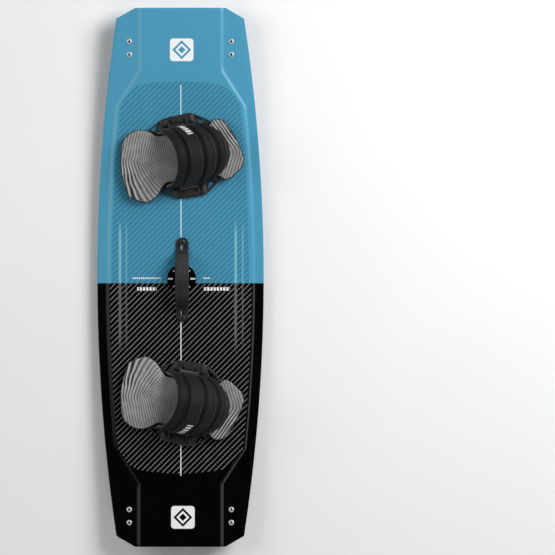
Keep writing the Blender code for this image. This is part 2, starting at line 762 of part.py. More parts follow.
def strap_mesh(outer, inner, along, leg):
    """A shell of the strap between two depths, with straight legs when leg is true."""
    shares = [i / STRAP_BANDS for i in range(STRAP_BANDS + 1)]
    turns = [math.pi * (i / STRAP_TURNS - 0.5) for i in range(STRAP_TURNS + 1)]
    rings = []
    for turn in turns:
        ring = [strap_point(turn, share, outer, along) for share in shares]
        ring += [strap_point(turn, share, inner, along) for share in reversed(shares)]
        rings.append(ring)
    if leg:
        foot = PLATE_TOP + LEG_CLEARANCE
        rings.insert(0, [Vector((point.x, point.y, foot)) for point in rings[0]])
        rings.append([Vector((point.x, point.y, foot)) for point in rings[-1]])
    return loft_mesh(rings)


def add_strap(name, along, hinge, offset):
    cover = add_part(f"{name}_strap_cover", strap_mesh(0.0, COVER_THICKNESS, along, False),
                     "strap_black", hinge, offset)
    shade_smooth(cover)
    outer = COVER_THICKNESS + COVER_GAP
    liner = add_part(f"{name}_strap_liner", strap_mesh(
        outer, outer + LINER_THICKNESS, along, True), "liner_black", hinge, offset)
    hinge_y = -along * HINGE_Y
    barrel = along_x(BARREL_RADIUS, BARREL_HALF_LENGTH, hinge_y, HINGE_Z)
    combine(liner, add_tool(f"{name}_strap_barrel", barrel, hinge, offset), "UNION")
    bore = along_x(BAR_RADIUS + GAP, CLAMP_HALF_WIDTH, hinge_y, HINGE_Z)
    combine(liner, add_tool(f"{name}_strap_bore", bore, hinge, offset))


def build_binding(name, along):
    y = along * BINDING_Y + BINDING_SHIFT
    frame = deck_frame(BINDING_X, y, along * BINDING_YAW)
    swivel = add_empty(f"{name}_swivel_axis", frame)
    add_baseplate(name, along, swivel)
    add_footpad(name, along, swivel)
    add_clamp(f"{name}_clamp_outer", along, swivel)
    add_clamp(f"{name}_clamp_inner", -along, swivel)
    offset = Vector((0, along * HINGE_Y, -HINGE_Z))
    hinge = add_empty(f"{name}_strap_axis", frame @ Matrix.Translation(-offset))
    add_strap(name, along, hinge, offset)


clear_scene()
parts = new_collection("kiteboard")
tools = new_collection("cutters")
build_fins(build_board())
build_handle()
for mount, (mount_frame, washer_seat) in mount_frames().items():
    add_mount(mount, mount_frame, washer_seat)
for binding, direction in BINDINGS.items():
    build_binding(binding, direction)
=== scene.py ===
"""Looks of the kiteboard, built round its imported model.

Metres, in the model's own frame: +X across the board, +Y towards the blue nose, +Z up.
Each binding's pieces are modelled in that binding's frame, as for the front one, and the
rear ones are their mirror image.
"""
import json
import math

import bmesh
import bpy
import numpy
from mathutils import Matrix, Vector
from mathutils.geometry import delaunay_2d_cdt


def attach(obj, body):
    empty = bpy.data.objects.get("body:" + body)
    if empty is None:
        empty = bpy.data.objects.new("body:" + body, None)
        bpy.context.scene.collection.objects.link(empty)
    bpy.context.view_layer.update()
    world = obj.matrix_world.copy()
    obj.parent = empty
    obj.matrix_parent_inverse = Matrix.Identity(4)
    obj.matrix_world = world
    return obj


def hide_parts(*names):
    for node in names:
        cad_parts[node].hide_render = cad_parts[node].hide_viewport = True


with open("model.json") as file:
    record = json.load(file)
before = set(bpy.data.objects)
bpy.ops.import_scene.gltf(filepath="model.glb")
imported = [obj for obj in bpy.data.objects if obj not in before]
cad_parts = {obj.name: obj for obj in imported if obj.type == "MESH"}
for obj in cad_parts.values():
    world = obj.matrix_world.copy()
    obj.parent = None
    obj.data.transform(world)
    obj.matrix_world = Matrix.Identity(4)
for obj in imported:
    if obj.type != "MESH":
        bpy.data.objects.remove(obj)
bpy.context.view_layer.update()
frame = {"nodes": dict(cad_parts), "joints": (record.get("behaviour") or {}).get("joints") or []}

GAP = 0.0003                      # air between pieces that touch on the real board

# Outline and section of the board, as in the model
HALF_LENGTH = 0.670
HALF_WIDTH = 0.2075
RAIL_CURVE = 0.1174               # half-width lost, per metre squared from the middle
TIP_HALF_WIDTH = 0.1125
CORNER_RUN = 1.751                # metres across for each metre along a cut corner
SHOULDER = 0.6435                 # where the curved rail meets the cut corner
INNER_SHOULDER = 0.6418           # the same corner on the inner side of a tip strip
PLATFORM_CORNER = 0.427
PLATFORM_NECK = 0.515
NECK_HALF_WIDTH = 0.097
PLATFORM_MARGIN = 0.0325
BEVEL_WIDTH = 0.012
BEVEL_DROP = 0.004
BASE_LIFT = 0.018
ROCKER = 0.036
CONCAVE = 0.001
MIDDLE_THICKNESS = 0.0125
TIP_THICKNESS = 0.009
LAMINATE = 0.0008
SKIN = LAMINATE + GAP
SIDEWALL = 0.010
SIDEWALL_SPLIT = 0.630
SIDEWALL_BULGE = 0.0006
EDGE_STEPS = (0.0, 0.0001, 0.0003, LAMINATE)   # depths of the points round a skin's edge
ROW_SPACING = 0.010

# Fins and their screws
FIN_X = 0.130
FIN_SCREW_X = 0.127
FIN_SCREW_Y = 0.58235
FIN_SHIFT = -0.0117
FIN_SCREW_SPACING = 0.0324
FIN_SET_BACK = 0.0103
FIN_POINTS = 40
FIN_LEVELS = 18
FIN_TIP_LENGTH = 0.030
FIN_TIP_THICKNESS = 0.0042

# Screws: radius and height of the head, then radius and length of the shaft
FIN_SCREW = (0.00675, 0.0028, 0.002, 0.0147)
HANDLE_SCREW = (0.0055, 0.0032, 0.003, 0.0128)
ANCHOR_SCREW = (0.0037, 0.0022, 0.002, 0.0095)
WASHER_RADIUS = 0.0062
WASHER_BORE = 0.0033
WASHER_THICKNESS = 0.0012

# Grab handle
HANDLE_X = 0.0045
HANDLE_Y = -0.0062
HANDLE_HALF_LENGTH = 0.1055
HANDLE_HALF_WIDTH = 0.0155
HANDLE_THICKNESS = 0.003
HANDLE_LIFT = 0.0028
HANDLE_RISE = 0.037
RISE_START = 0.082
RISE_LENGTH = 0.045
SLOT_INNER = 0.077
SLOT_OUTER = 0.094
SLOT_HALF_WIDTH = 0.0033
HANDLE_SEAT = 0.0041
GRIP_END = 0.062
GRIP_HALF_WIDTH = 0.0168
GRIP_HALF_HEIGHT = 0.0058

# Bindings
PLATE_LIFT = 0.0016
PLATE_TOP = 0.0101
PLATE_OUTLINE = (
    (0.038, -0.106), (0.078, -0.077), (0.088, -0.058), (0.122, -0.040),
    (0.122, 0.040), (0.088, 0.058), (0.078, 0.077), (0.034, 0.104),
    (-0.037, 0.099), (-0.078, 0.077), (-0.092, 0.058), (-0.140, 0.050),
    (-0.140, -0.060), (-0.092, -0.066), (-0.078, -0.077), (-0.034, -0.104),
)
PLATE_WINDOW = ((0.070, 0.077), (0.042, 0.0945), (0.056, 0.070))
ANCHOR_HALF_WIDTH = 0.041         # the raised seat round each anchor clamp
ANCHOR_START = 0.078
ANCHOR_RISE = 0.0034
PAD_THICKNESS = 0.014
PAD_ROUNDING = 0.0032
PAD_LEDGE = PLATE_TOP + 0.0085    # top of the black layer under the grey foam
PAD_LEDGE_WIDTH = 0.0016          # how far it shows round the edge
PAD_OUTLINE = (
    (-0.083, 0.080), (-0.104, 0.084), (-0.123, 0.079), (-0.143, 0.065), (-0.152, 0.041),
    (-0.161, -0.004), (-0.159, -0.046), (-0.153, -0.078), (-0.122, -0.097),
    (-0.106, -0.100), (-0.083, -0.089), (-0.066, -0.070), (-0.057, -0.060),
    (0.070, -0.060), (0.080, -0.066), (0.088, -0.0775), (0.1065, -0.0755),
    (0.140, -0.052), (0.148, -0.036), (0.1436, -0.009), (0.1346, 0.026),
    (0.118, 0.0665), (0.100, 0.0767), (0.086, 0.0755), (0.078, 0.068),
    (0.070, 0.060), (-0.057, 0.060), (-0.066, 0.069),
)
HINGE_Y = 0.075
HINGE_Z = PLATE_TOP + 0.0075
BARREL_RADIUS = 0.0065
BARREL_HALF_LENGTH = 0.020
BAR_RADIUS = 0.0025
CLAMP_HALF_WIDTH = 0.0255
CLAMP_THICKNESS = 0.004
CLAMP_OUTER_Y = 0.1015
LUG_RADIUS = 0.0045
ANCHOR_SCREW_X = 0.017
ANCHOR_SCREW_Y = 0.0895

# Strap over the foot
STRAP_HALF_SPAN = 0.074
STRAP_LEG = 0.016
LEG_CLEARANCE = 0.0008
ANKLE_SIDE_X = -0.056
ANKLE_CREST_X = -0.014
ANKLE_HEIGHT = 0.095
TOE_SIDE_X = 0.038
TOE_CREST_X = 0.116
TOE_HEIGHT = 0.070
COVER_THICKNESS = 0.0037
COVER_GAP = 0.0006
LINER_THICKNESS = 0.005
GROOVES = ((0.28, 0.19), (0.66, 0.52), (0.88, 0.785))   # share at the feet, share at the crest
BAND_HEIGHTS = (0.0016, 0.0060, 0.0052, 0.0042)
GROOVE_HALF_WIDTH = 0.036         # the rest of the strap's numbers are shares of its width
BAND_ROUNDING = 0.040
STRAP_COLUMNS = 130
STRAP_ROWS = 72

# Colours, linear
BLUE = (0.074, 0.309, 0.468)
BLUE_SHADE = (0.036, 0.176, 0.274)
# painted highlight colour on the blue half, for the board's bevels and raised lines
BLUE_HIGHLIGHT = (0.17, 0.46, 0.62)
BLACK = (0.0012, 0.0012, 0.0013)
DASH = (0.26, 0.26, 0.26)
WHITE = (0.86, 0.88, 0.88)

# Printed graphics
CELL = 0.014 / 3                  # one square of the weave
DECK_SPLIT = -0.0145
BASE_SPLIT = -0.009
EMBLEM_HALF = 0.030

# Studio
HORIZON = 0.7                     # brightness at eye level, and overhead
ZENITH = 0.002
CAMERA_PLACE = (0.2419, -0.0005, 9.642)
FOCAL_LENGTH = 250
SENSOR_WIDTH = 36


# --- Fields: numbers that vary over a surface -----------------------------------------

def feed(tree, socket, value):
    if isinstance(value, Field):
        tree.links.new(value.socket, socket)
    else:
        socket.default_value = value


class Field:
    """A number that varies over a surface, worked out by shader nodes."""

    def __init__(self, tree, socket):
        self.tree = tree
        self.socket = socket

    def math(self, operation, *values):
        node = self.tree.nodes.new("ShaderNodeMath")
        node.operation = operation
        for socket, value in zip(node.inputs, (self, *values)):
            feed(self.tree, socket, value)
        return Field(self.tree, node.outputs["Value"])

    def __add__(self, other):
        return self.math("ADD", other)

    def __radd__(self, other):
        return self + other

    def __sub__(self, other):
        return self.math("SUBTRACT", other)

    def __mul__(self, other):
        return self.math("MULTIPLY", other)

    def __abs__(self):
        return self.math("ABSOLUTE")

    def wrap(self, period):
        return self.math("FLOORED_MODULO", period)

    def wave(self, period):
        """0 to 1 and back once in each period."""
        return (self * (2 * math.pi / period)).math("SINE") * 0.5 + 0.5

    def least(self, other):
        return self.math("MINIMUM", other)

    def most(self, other):
        return self.math("MAXIMUM", other)

    def ramp(self, start, end):
        """0 at start, 1 at end, with a smooth step between."""
        node = self.tree.nodes.new("ShaderNodeMapRange")
        node.interpolation_type = "SMOOTHSTEP"
        feed(self.tree, node.inputs["Value"], self)
        low, high = sorted((start, end))
        node.inputs["From Min"].default_value = low
        node.inputs["From Max"].default_value = high
        node.inputs["To Min"].default_value = float(start > end)
        node.inputs["To Max"].default_value = float(start < end)
        return Field(self.tree, node.outputs["Result"])

    def within(self, limit, soft):
        """1 where the number is nearer zero than limit, fading out over soft."""
        return abs(self).ramp(limit + soft / 2, limit - soft / 2)


class Paint:
    """A material, and the fields its layers are painted from."""

    def __init__(self, name, colour, roughness, metallic=0.0, mapped=False):
        self.material = bpy.data.materials.new(name)
        self.material.use_nodes = True
        self.tree = self.material.node_tree
        self.shader = self.tree.nodes["Principled BSDF"]
        self.shader.inputs["Base Color"].default_value = (*colour, 1.0)
        self.shader.inputs["Roughness"].default_value = roughness
        self.shader.inputs["Metallic"].default_value = metallic
        self.colour = None
        self.base = colour
        self.roughness = None
        self.dull = roughness
        self.relief = None
        if mapped:
            source = self.tree.nodes.new("ShaderNodeAttribute")
            source.attribute_name = "place"
            self.place = source.outputs["Vector"]
        else:
            self.place = self.tree.nodes.new("ShaderNodeTexCoord").outputs["Object"]
        split = self.tree.nodes.new("ShaderNodeSeparateXYZ")
        self.tree.links.new(self.place, split.inputs["Vector"])
        self.x, self.y, self.z = (Field(self.tree, socket) for socket in split.outputs)

    def attribute(self, name):
        node = self.tree.nodes.new("ShaderNodeAttribute")
        node.attribute_name = name
        return Field(self.tree, node.outputs["Fac"])

    def noise(self, size, detail=2.0, stretch=(1, 1, 1)):
        """Cloudy noise from 0 to 1 with features of this size in metres."""
        scaled = self.tree.nodes.new("ShaderNodeVectorMath")
        scaled.operation = "MULTIPLY"
        self.tree.links.new(self.place, scaled.inputs[0])
        scaled.inputs[1].default_value = [1 / (size * part) for part in stretch]
        node = self.tree.nodes.new("ShaderNodeTexNoise")
        node.inputs["Scale"].default_value = 1.0
        node.inputs["Detail"].default_value = detail
        self.tree.links.new(scaled.outputs["Vector"], node.inputs["Vector"])
        return Field(self.tree, node.outputs["Fac"])

    def lay(self, colour, share):
        """Paints a colour over what is there, where share is 1."""
        node = self.tree.nodes.new("ShaderNodeMix")
        node.data_type = "RGBA"
        feed(self.tree, node.inputs["Factor"], share)
        if self.colour is None:
            node.inputs["A"].default_value = (*self.base, 1.0)
        else:
            self.tree.links.new(self.colour, node.inputs["A"])
        node.inputs["B"].default_value = (*colour, 1.0)
        self.colour = node.outputs["Result"]
        self.tree.links.new(self.colour, self.shader.inputs["Base Color"])

    def dress(self, change, field):
        """Adds change to the roughness where the field is 1."""
        start = self.dull if self.roughness is None else self.roughness
        self.roughness = field * change + start
        feed(self.tree, self.shader.inputs["Roughness"], self.roughness)

    def bump(self, height, distance):
        """Raises the surface by up to distance where height is 1."""
        node = self.tree.nodes.new("ShaderNodeBump")
        node.inputs["Strength"].default_value = 1.0
        node.inputs["Distance"].default_value = distance
        feed(self.tree, node.inputs["Height"], height)
        if self.relief is not None:
            self.tree.links.new(self.relief, node.inputs["Normal"])
        self.relief = node.outputs["Normal"]
        self.tree.links.new(self.relief, self.shader.inputs["Normal"])

    def sheen(self, weight, roughness=0.5):
        self.shader.inputs["Sheen Weight"].default_value = weight
        self.shader.inputs["Sheen Roughness"].default_value = roughness

    def gloss(self, level):
        self.shader.inputs["Specular IOR Level"].default_value = level


# --- Shape of the board ---------------------------------------------------------------

def between(start, end, share):
    return start + (end - start) * share


def clamp(value):
    return min(max(value, 0.0), 1.0)


def ease(value):
    value = clamp(value)
    return value * value * (3 - 2 * value)


def quarter_round(depth, radius):
    """How far a rounded edge has dropped at this distance in from it."""
    left = 1 - clamp(depth / radius)
    return radius * (1 - math.sqrt(1 - left * left))


def rail(y, inset=0.0):
    side = HALF_WIDTH - RAIL_CURVE * y * y - inset
    slant = math.hypot(1, CORNER_RUN)
    corner = TIP_HALF_WIDTH + CORNER_RUN * (HALF_LENGTH - abs(y)) - inset * slant
    return min(side, corner)


def platform_edge(y):
    share = clamp((abs(y) - PLATFORM_CORNER) / (PLATFORM_NECK - PLATFORM_CORNER))
    if share == 0:
        return rail(y) - PLATFORM_MARGIN
    return between(rail(PLATFORM_CORNER) - PLATFORM_MARGIN, NECK_HALF_WIDTH, share)


def fullness(y):
    return 1 - (y / HALF_LENGTH) ** 2


def base_height(x, y):
    rocker = ROCKER * (1 - fullness(y))
    return BASE_LIFT + rocker - CONCAVE * fullness(y) * (x / HALF_WIDTH) ** 2


def deck_height(x, y):
    rocker = ROCKER * (1 - fullness(y))
    thickness = between(TIP_THICKNESS, MIDDLE_THICKNESS, fullness(y))
    bevel = ease((abs(x) - platform_edge(y)) / BEVEL_WIDTH) ** 1.5
    return BASE_LIFT + rocker + thickness - BEVEL_DROP * bevel


def deck_frame(x, y, yaw=0.0):
    step = 0.001
    slope = (deck_height(x, y + step) - deck_height(x, y - step)) / (2 * step)
    tilt = Matrix.Rotation(math.atan(slope), 4, "X")
    place = Matrix.Translation((x, y, deck_height(x, y)))
    return place @ tilt @ Matrix.Rotation(yaw, 4, "Z")


# --- Mesh making ----------------------------------------------------------------------

def finish_mesh(draft, name, angle=35):
    bmesh.ops.recalc_face_normals(draft, faces=draft.faces)
    mesh = bpy.data.meshes.new(name)
    draft.to_mesh(mesh)
    draft.free()
    mesh.shade_smooth()
    mesh.set_sharp_from_angle(angle=math.radians(angle))
    return mesh


def loft(rings, name, closed=False, angle=35):
    """A solid through rings of equal length. A closed one runs back into its first ring."""
    draft = bmesh.new()
    loops = [[draft.verts.new(point) for point in ring] for ring in rings]
    pairs = list(zip(loops, loops[1:]))
    if closed:
        pairs.append((loops[-1], loops[0]))
    for near, far in pairs:
        for i, corner in enumerate(near):
            j = (i + 1) % len(near)
            draft.faces.new((corner, near[j], far[j], far[i]))
    if not closed:
        for loop in (loops[0], loops[-1]):
            draft.faces.new(loop)
    return finish_mesh(draft, name, angle)


def spun(profile, name, steps=40):
    """A solid of revolution about +Z, from points of radius and height that end on the axis."""
    rings = []
    for i in range(steps):
        turn = 2 * math.pi * i / steps
        rings.append([(r * math.cos(turn), r * math.sin(turn), z) for r, z in profile])
    return loft(rings, name, closed=True, angle=30)


def softened(loop, reach):
    """The outline with each corner rounded, starting this far from it."""
    out = []
    count = len(loop)
    for i in range(count):
        corner = Vector(loop[i])
        before = Vector(loop[i - 1]) - corner
        after = Vector(loop[(i + 1) % count]) - corner
        start = corner + before.normalized() * min(reach, before.length * 0.48)
        end = corner + after.normalized() * min(reach, after.length * 0.48)
        for share in (0, 0.25, 0.5, 0.75, 1):
            out.append(start.lerp(corner, share).lerp(corner.lerp(end, share), share))
    return out


def refined(loop, spacing):
    """The outline with points added until none are further apart than spacing."""
    out = []
    for i, point in enumerate(loop):
        point = Vector(point)
        following = Vector(loop[(i + 1) % len(loop)])
        steps = max(1, math.ceil((following - point).length / spacing))
        out += [point.lerp(following, step / steps) for step in range(steps)]
    return out


def edge_distance(points, loops):
    """How far each point is from the nearest edge of the outlines."""
    nearest = numpy.full(len(points), 1.0)
    for loop in loops:
        corners = numpy.array([tuple(point) for point in loop])
        for start, along in zip(corners, numpy.roll(corners, -1, axis=0) - corners):
            offset = points - start
            share = numpy.clip(offset @ along / (along @ along), 0, 1)
            gap = offset - share[:, None] * along
            nearest = numpy.minimum(nearest, numpy.hypot(gap[:, 0], gap[:, 1]))
    return nearest


def encloses(loop, point):
    """Whether the point is inside the outline."""
    odd = False
    for i, corner in enumerate(loop):
        before = loop[i - 1]
        if (corner.y > point.y) != (before.y > point.y):
            share = (point.y - before.y) / (corner.y - before.y)
            odd ^= point.x < between(before.x, corner.x, share)
    return odd


def inner_points(loops, spacing, rims):
    """Points to fill the outlines with: a rim of them at each depth, and a grid."""
    corners = numpy.array([tuple(point) for loop in loops for point in loop])
    low, high = corners.min(0), corners.max(0)
    across = numpy.arange(low[0], high[0], spacing)
    along = numpy.arange(low[1], high[1], spacing)
    grid = numpy.array([(x, y) for x in across for y in along])
    chosen = [grid[edge_distance(grid, loops) > rims[-1] + spacing * 0.4]]
    for depth in rims:
        ring = []
        for loop in loops:
            for i, point in enumerate(loop):
                direction = loop[(i + 1) % len(loop)] - loop[i - 1]
                normal = Vector((direction.y, -direction.x)).normalized() * depth
                ring += [tuple(point + normal), tuple(point - normal)]
        ring = numpy.array(ring)
        chosen.append(ring[edge_distance(ring, loops) > depth * 0.98])
    return numpy.concatenate(chosen)


def plate(loops, spacing, rims, top, bottom, name, angle=35):
    """A solid over the first outline, less the others. top and bottom give its two heights
    from x, y and the distance in from the edge."""
    loops = [refined(loop, spacing) for loop in loops]
    points = [point for loop in loops for point in loop]
    edges = []
    start = 0
    for loop in loops:
        edges += [(start + i, start + (i + 1) % len(loop)) for i in range(len(loop))]
        start += len(loop)
    points += [Vector(point) for point in inner_points(loops, spacing, rims).tolist()]
    filled = delaunay_2d_cdt(points, edges, [], 1, 1e-6)
    flat, faces = filled[0], filled[2]
    faces = [face for face in faces if not any(
        encloses(loop, sum((flat[i] for i in face), Vector((0, 0))) / len(face))
        for loop in loops[1:])]
    depths = edge_distance(numpy.array([tuple(point) for point in flat]), loops)
    draft = bmesh.new()
    layers = []
    for height in (top, bottom):
        layers.append([draft.verts.new((point.x, point.y, height(point.x, point.y, depth)))
                       for point, depth in zip(flat, depths)])
    for face in faces:
        draft.faces.new([layers[0][i] for i in face])
    rim = [edge for edge in draft.edges if len(edge.link_faces) == 1]
    index = {vertex: i for i, vertex in enumerate(layers[0])}
    sides = [[index[vertex] for vertex in edge.verts] for edge in rim]
    for face in faces:
        draft.faces.new([layers[1][i] for i in reversed(face)])
    for i, j in sides:
        draft.faces.new((layers[0][i], layers[0][j], layers[1][j], layers[1][i]))
    loose = [vertex for vertex in draft.verts if not vertex.link_faces]
    bmesh.ops.delete(draft, geom=loose, context="VERTS")
    return finish_mesh(draft, name, angle)


def record_places(mesh):
    """Keeps each vertex's place in the mesh, for patterns that follow a mirrored piece."""
    layer = mesh.attributes.new("place", "FLOAT_VECTOR", "POINT")
    places = numpy.zeros(len(mesh.vertices) * 3, numpy.float32)
    mesh.vertices.foreach_get("co", places)
    layer.data.foreach_set("vector", places)


def show(name, mesh, paint, body, stands_for, matrix=None):
    """Puts a finished piece in the scene, on its body."""
    piece = bpy.data.objects.new(name, mesh)
    bpy.context.scene.collection.objects.link(piece)
    mesh.materials.append(paint.material)
    if matrix is not None:
        piece.matrix_world = matrix
    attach(piece, body)
    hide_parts(*stands_for)
    return piece


# --- Materials ------------------------------------------------------------------------

def weave(paint):
    """A twill: its slanted furrows, and the short dashes of thread along them."""
    column = paint.x * (1 / CELL)
    row = paint.y * (1 / CELL)
    offset = abs((column - row).wrap(3) - 1.5)
    furrow = offset.ramp(0.85, 0.45)
    breaks = abs((column + row).wrap(2.0) - 1.0).ramp(0.95, 0.45)
    return furrow, offset.ramp(0.50, 0.24) * breaks


def inside(sideways, lengthways, radius):
    """1 where both distances in from the edges are positive, with rounded corners."""
    first = (sideways * -1 + radius).most(0.0)
    second = (lengthways * -1 + radius).most(0.0)
    reach = (first * first + second * second).math("SQRT")
    return reach.ramp(radius, radius - 0.0015)


def box_mask(paint, x, y, half_x, half_y, soft=0.0006):
    return (paint.x - x).within(half_x, soft) * (paint.y - y).within(half_y, soft)


def tint(paint, share, blue, on_blue, on_black):
    """Lays one colour on the blue half and another on the black half."""
    paint.lay(on_blue, share * blue)
    paint.lay(on_black, share * (blue * -1 + 1))


def emblem(paint, blue, x, y):
    """A square with rounded corners and nested diamonds."""
    across = abs(paint.x - x)
    along = abs(paint.y - y)
    square = inside(across * -1 + EMBLEM_HALF, along * -1 + EMBLEM_HALF * 0.96, 0.009)
    paint.lay(WHITE, square)
    diamond = across + along
    ring = diamond.ramp(0.0240, 0.0232) * diamond.ramp(0.0158, 0.0166)
    heart = diamond.ramp(0.0098, 0.0090)
    tint(paint, ring + heart, blue, BLUE, BLACK)


def dash_row(paint, x, y, half_length, half_height, period):
    """A row of short bars, standing for a line of print."""
    bars = (paint.x + 1).wrap(period).ramp(period * 0.30, period * 0.36)
    paint.lay(WHITE, box_mask(paint, x, y, half_length, half_height) * bars)


def platform_field(paint):
    """Distance in from the edge of the deck's raised platform."""
    along = abs(paint.y)
    side = along * along * -RAIL_CURVE + (HALF_WIDTH - PLATFORM_MARGIN)
    corner = rail(PLATFORM_CORNER) - PLATFORM_MARGIN
    slope = (corner - NECK_HALF_WIDTH) / (PLATFORM_NECK - PLATFORM_CORNER)
    taper = (along - PLATFORM_CORNER) * -slope + corner
    return side.least(taper).most(NECK_HALF_WIDTH) - abs(paint.x)


def lacquer(name):
    """Clear-coated board laminate: faint orange peel and haze."""
    paint = Paint(name, BLACK, 0.20)
    paint.dress(0.08, paint.noise(0.045))
    paint.gloss(0.16)
    return paint


def print_cloth(paint, blue, region):
    """Blue or black lacquer, with the weave of the cloth showing through in a region."""
    paint.lay(BLUE, blue)
    furrow, dash = weave(paint)
    paint.lay(BLUE_SHADE, (furrow * 0.72 - dash * 0.25 + 0.16) * region * blue)
    paint.lay(DASH, dash * region * (blue * -1 + 1) * (paint.noise(0.02) * 0.8 + 0.5))
    paint.bump(furrow * region, 0.00008)


def deck_paint():
    paint = lacquer("printed_deck")
    blue = (paint.y - DECK_SPLIT).ramp(-0.0008, 0.0008)
    margin = platform_field(paint)
    sides = margin + 0.003 - blue * 0.0065
    region = inside(sides, paint.x * paint.x * -0.9 + 0.489 - abs(paint.y), 0.02)
    print_cloth(paint, blue, region)

    # Painted highlights on the platform's bevel: a lighter band down the left bevel, a line at the
    # foot of the right bevel (bright grey on the black half) and a line round each neck.
    right = paint.x.ramp(-0.001, 0.001)
    band = (margin + 0.005).within(0.005, 0.003) * (right * -1 + 1)
    tint(paint, band * 0.38, blue, BLUE_HIGHLIGHT, (0.004, 0.004, 0.004))
    foot = (margin + 0.0085).within(0.0012, 0.0035)
    tint(paint, foot * right * 0.2, blue, BLUE_HIGHLIGHT, (0.36, 0.36, 0.36))
    neck_highlight = (margin + 0.005).within(0.002, 0.006) * abs(paint.y).ramp(0.43, 0.47)
    tint(paint, neck_highlight * 0.15, blue, BLUE_HIGHLIGHT, (0.16, 0.16, 0.16))

    # Raised lines along the deck, with painted highlights on them; the left line of each pair is
    # wider and lighter.
    length = paint.y.ramp(0.150, 0.100) * paint.y.ramp(-0.195, -0.130)
    for x, half_width, strength in ((-0.151, 0.0030, 0.75), (-0.135, 0.0016, 0.55),
                                    (0.1375, 0.0030, 0.75), (0.155, 0.0016, 0.55)):
        line = (paint.x - x).within(half_width, 0.0026) * length
        tint(paint, line * strength, blue, (0.24, 0.54, 0.68), (0.15, 0.15, 0.15))
        paint.bump(line, 0.0003)

    stripe = (paint.x - 0.00125).within(0.0012, 0.0006) * (paint.y + 0.0075).within(0.4865, 0.002)
    tint(paint, stripe, blue, (0.62, 0.84, 0.92), WHITE)
    badge(paint)
    emblem(paint, blue, 0.0036, 0.566)
    emblem(paint, blue, 0.0066, -0.597)
    dash_row(paint, -0.0855, -0.0022, 0.0355, 0.0018, 0.0052)
    dash_row(paint, 0.0655, -0.0022, 0.0085, 0.0018, 0.0052)
    dash_row(paint, -0.084, -0.0290, 0.0240, 0.0042, 0.0080)
    dash_row(paint, 0.0905, -0.0290, 0.0325, 0.0042, 0.0080)
    return paint


def badge(paint):
    """A black disc with a bar at each side and ticks between them."""
    x = paint.x - 0.0026
    y = paint.y + 0.0037
    reach = (x * x + y * y).math("SQRT")
    paint.lay(BLACK, reach.ramp(0.0365, 0.0358))
    bars = (abs(x) - 0.028).within(0.006, 0.0006) * y.within(0.0018, 0.0006)
    slanted = abs(x) - abs(y)
    ticks = slanted.within(0.0009, 0.0006) * (reach - 0.0275).within(0.0028, 0.0006)
    paint.lay(WHITE, bars.most(ticks))


def chevrons(paint):
    """Four broad chevrons along the base, pointing to the nose."""
    across = abs(paint.x)
    share = None
    stroke = 0.042
    for low, high in ((0.213, 0.340), (0.028, 0.161), (-0.131, -0.026), (-0.314, -0.186)):
        rise = high - low - stroke
        line = paint.y + across * (rise / 0.15) - (high - stroke / 2)
        band = line.within(stroke / 2, 0.0008) * across.ramp(0.1504, 0.1496)
        share = band if share is None else share.most(band)
    return share


def base_paint():
    paint = lacquer("printed_base")
    split = (paint.y - BASE_SPLIT).ramp(-0.0008, 0.0008)
    blue = abs(split - chevrons(paint))
    side = paint.y * paint.y * -RAIL_CURVE + 0.174 - abs(paint.x)
    length = paint.x * paint.x * -0.9 + 0.4955 - abs(paint.y + 0.0145)
    print_cloth(paint, blue, inside(side, length, 0.045))

    channel = abs(paint.x).ramp(0.0315, 0.0285) * (paint.y + 0.005).within(0.305, 0.01)
    # A painted highlight along each edge of the middle channel.
    edge = (abs(paint.x) - 0.030).within(0.0008, 0.0012) * (paint.y + 0.005).within(0.305, 0.02)
    tint(paint, edge * 0.35, blue, BLUE_HIGHLIGHT, (0.08, 0.08, 0.08))
    paint.bump(channel, -0.0008)
    # Raised lines along the rails and towards the tips, with painted highlights on them.
    rails = (abs(paint.x) - 0.174).within(0.0012, 0.0016) * (paint.y - 0.015).within(0.315, 0.06)
    tips = (abs(paint.x) - 0.113).within(0.0012, 0.0016) * abs(paint.y).ramp(0.33, 0.40)
    lines = rails.most(tips)
    tint(paint, lines * 0.4, blue, BLUE_HIGHLIGHT, (0.05, 0.05, 0.05))
    paint.bump(lines, 0.0004)

    step = (paint.y + 0.0135).wrap(0.056)
    dots = step.ramp(0.0195, 0.0185) * step.ramp(0.0025, 0.0035)
    row = paint.x.within(0.0035, 0.0008) * dots * (paint.y + 0.013).within(0.440, 0.001)
    paint.lay(WHITE, row)
    emblem(paint, split, 0.0, 0.565)
    emblem(paint, split, 0.0, -0.593)
    return paint


def moulded(name, colour, roughness, mapped=False):
    """Moulded plastic or rubber: a fine grain, and slightly uneven gloss."""
    paint = Paint(name, colour, roughness, mapped=mapped)
    paint.bump(paint.noise(0.0006, detail=1.0), 0.00008)
    paint.dress(0.12, paint.noise(0.012))
    paint.lay([part * 2.2 + 0.004 for part in colour], paint.noise(0.02).ramp(0.55, 0.75) * 0.35)
    return paint


def metal(name, colour, roughness):
    """Bright metal with fine scratches and dulled patches."""
    paint = Paint(name, colour, roughness, metallic=1.0)
    scratches = paint.noise(0.0015, detail=3.0, stretch=(4, 0.3, 1))
    paint.dress(0.18, scratches)
    paint.bump(scratches, 0.00003)
    paint.lay([part * 0.55 for part in colour], paint.noise(0.004).ramp(0.5, 0.8) * 0.5)
    return paint


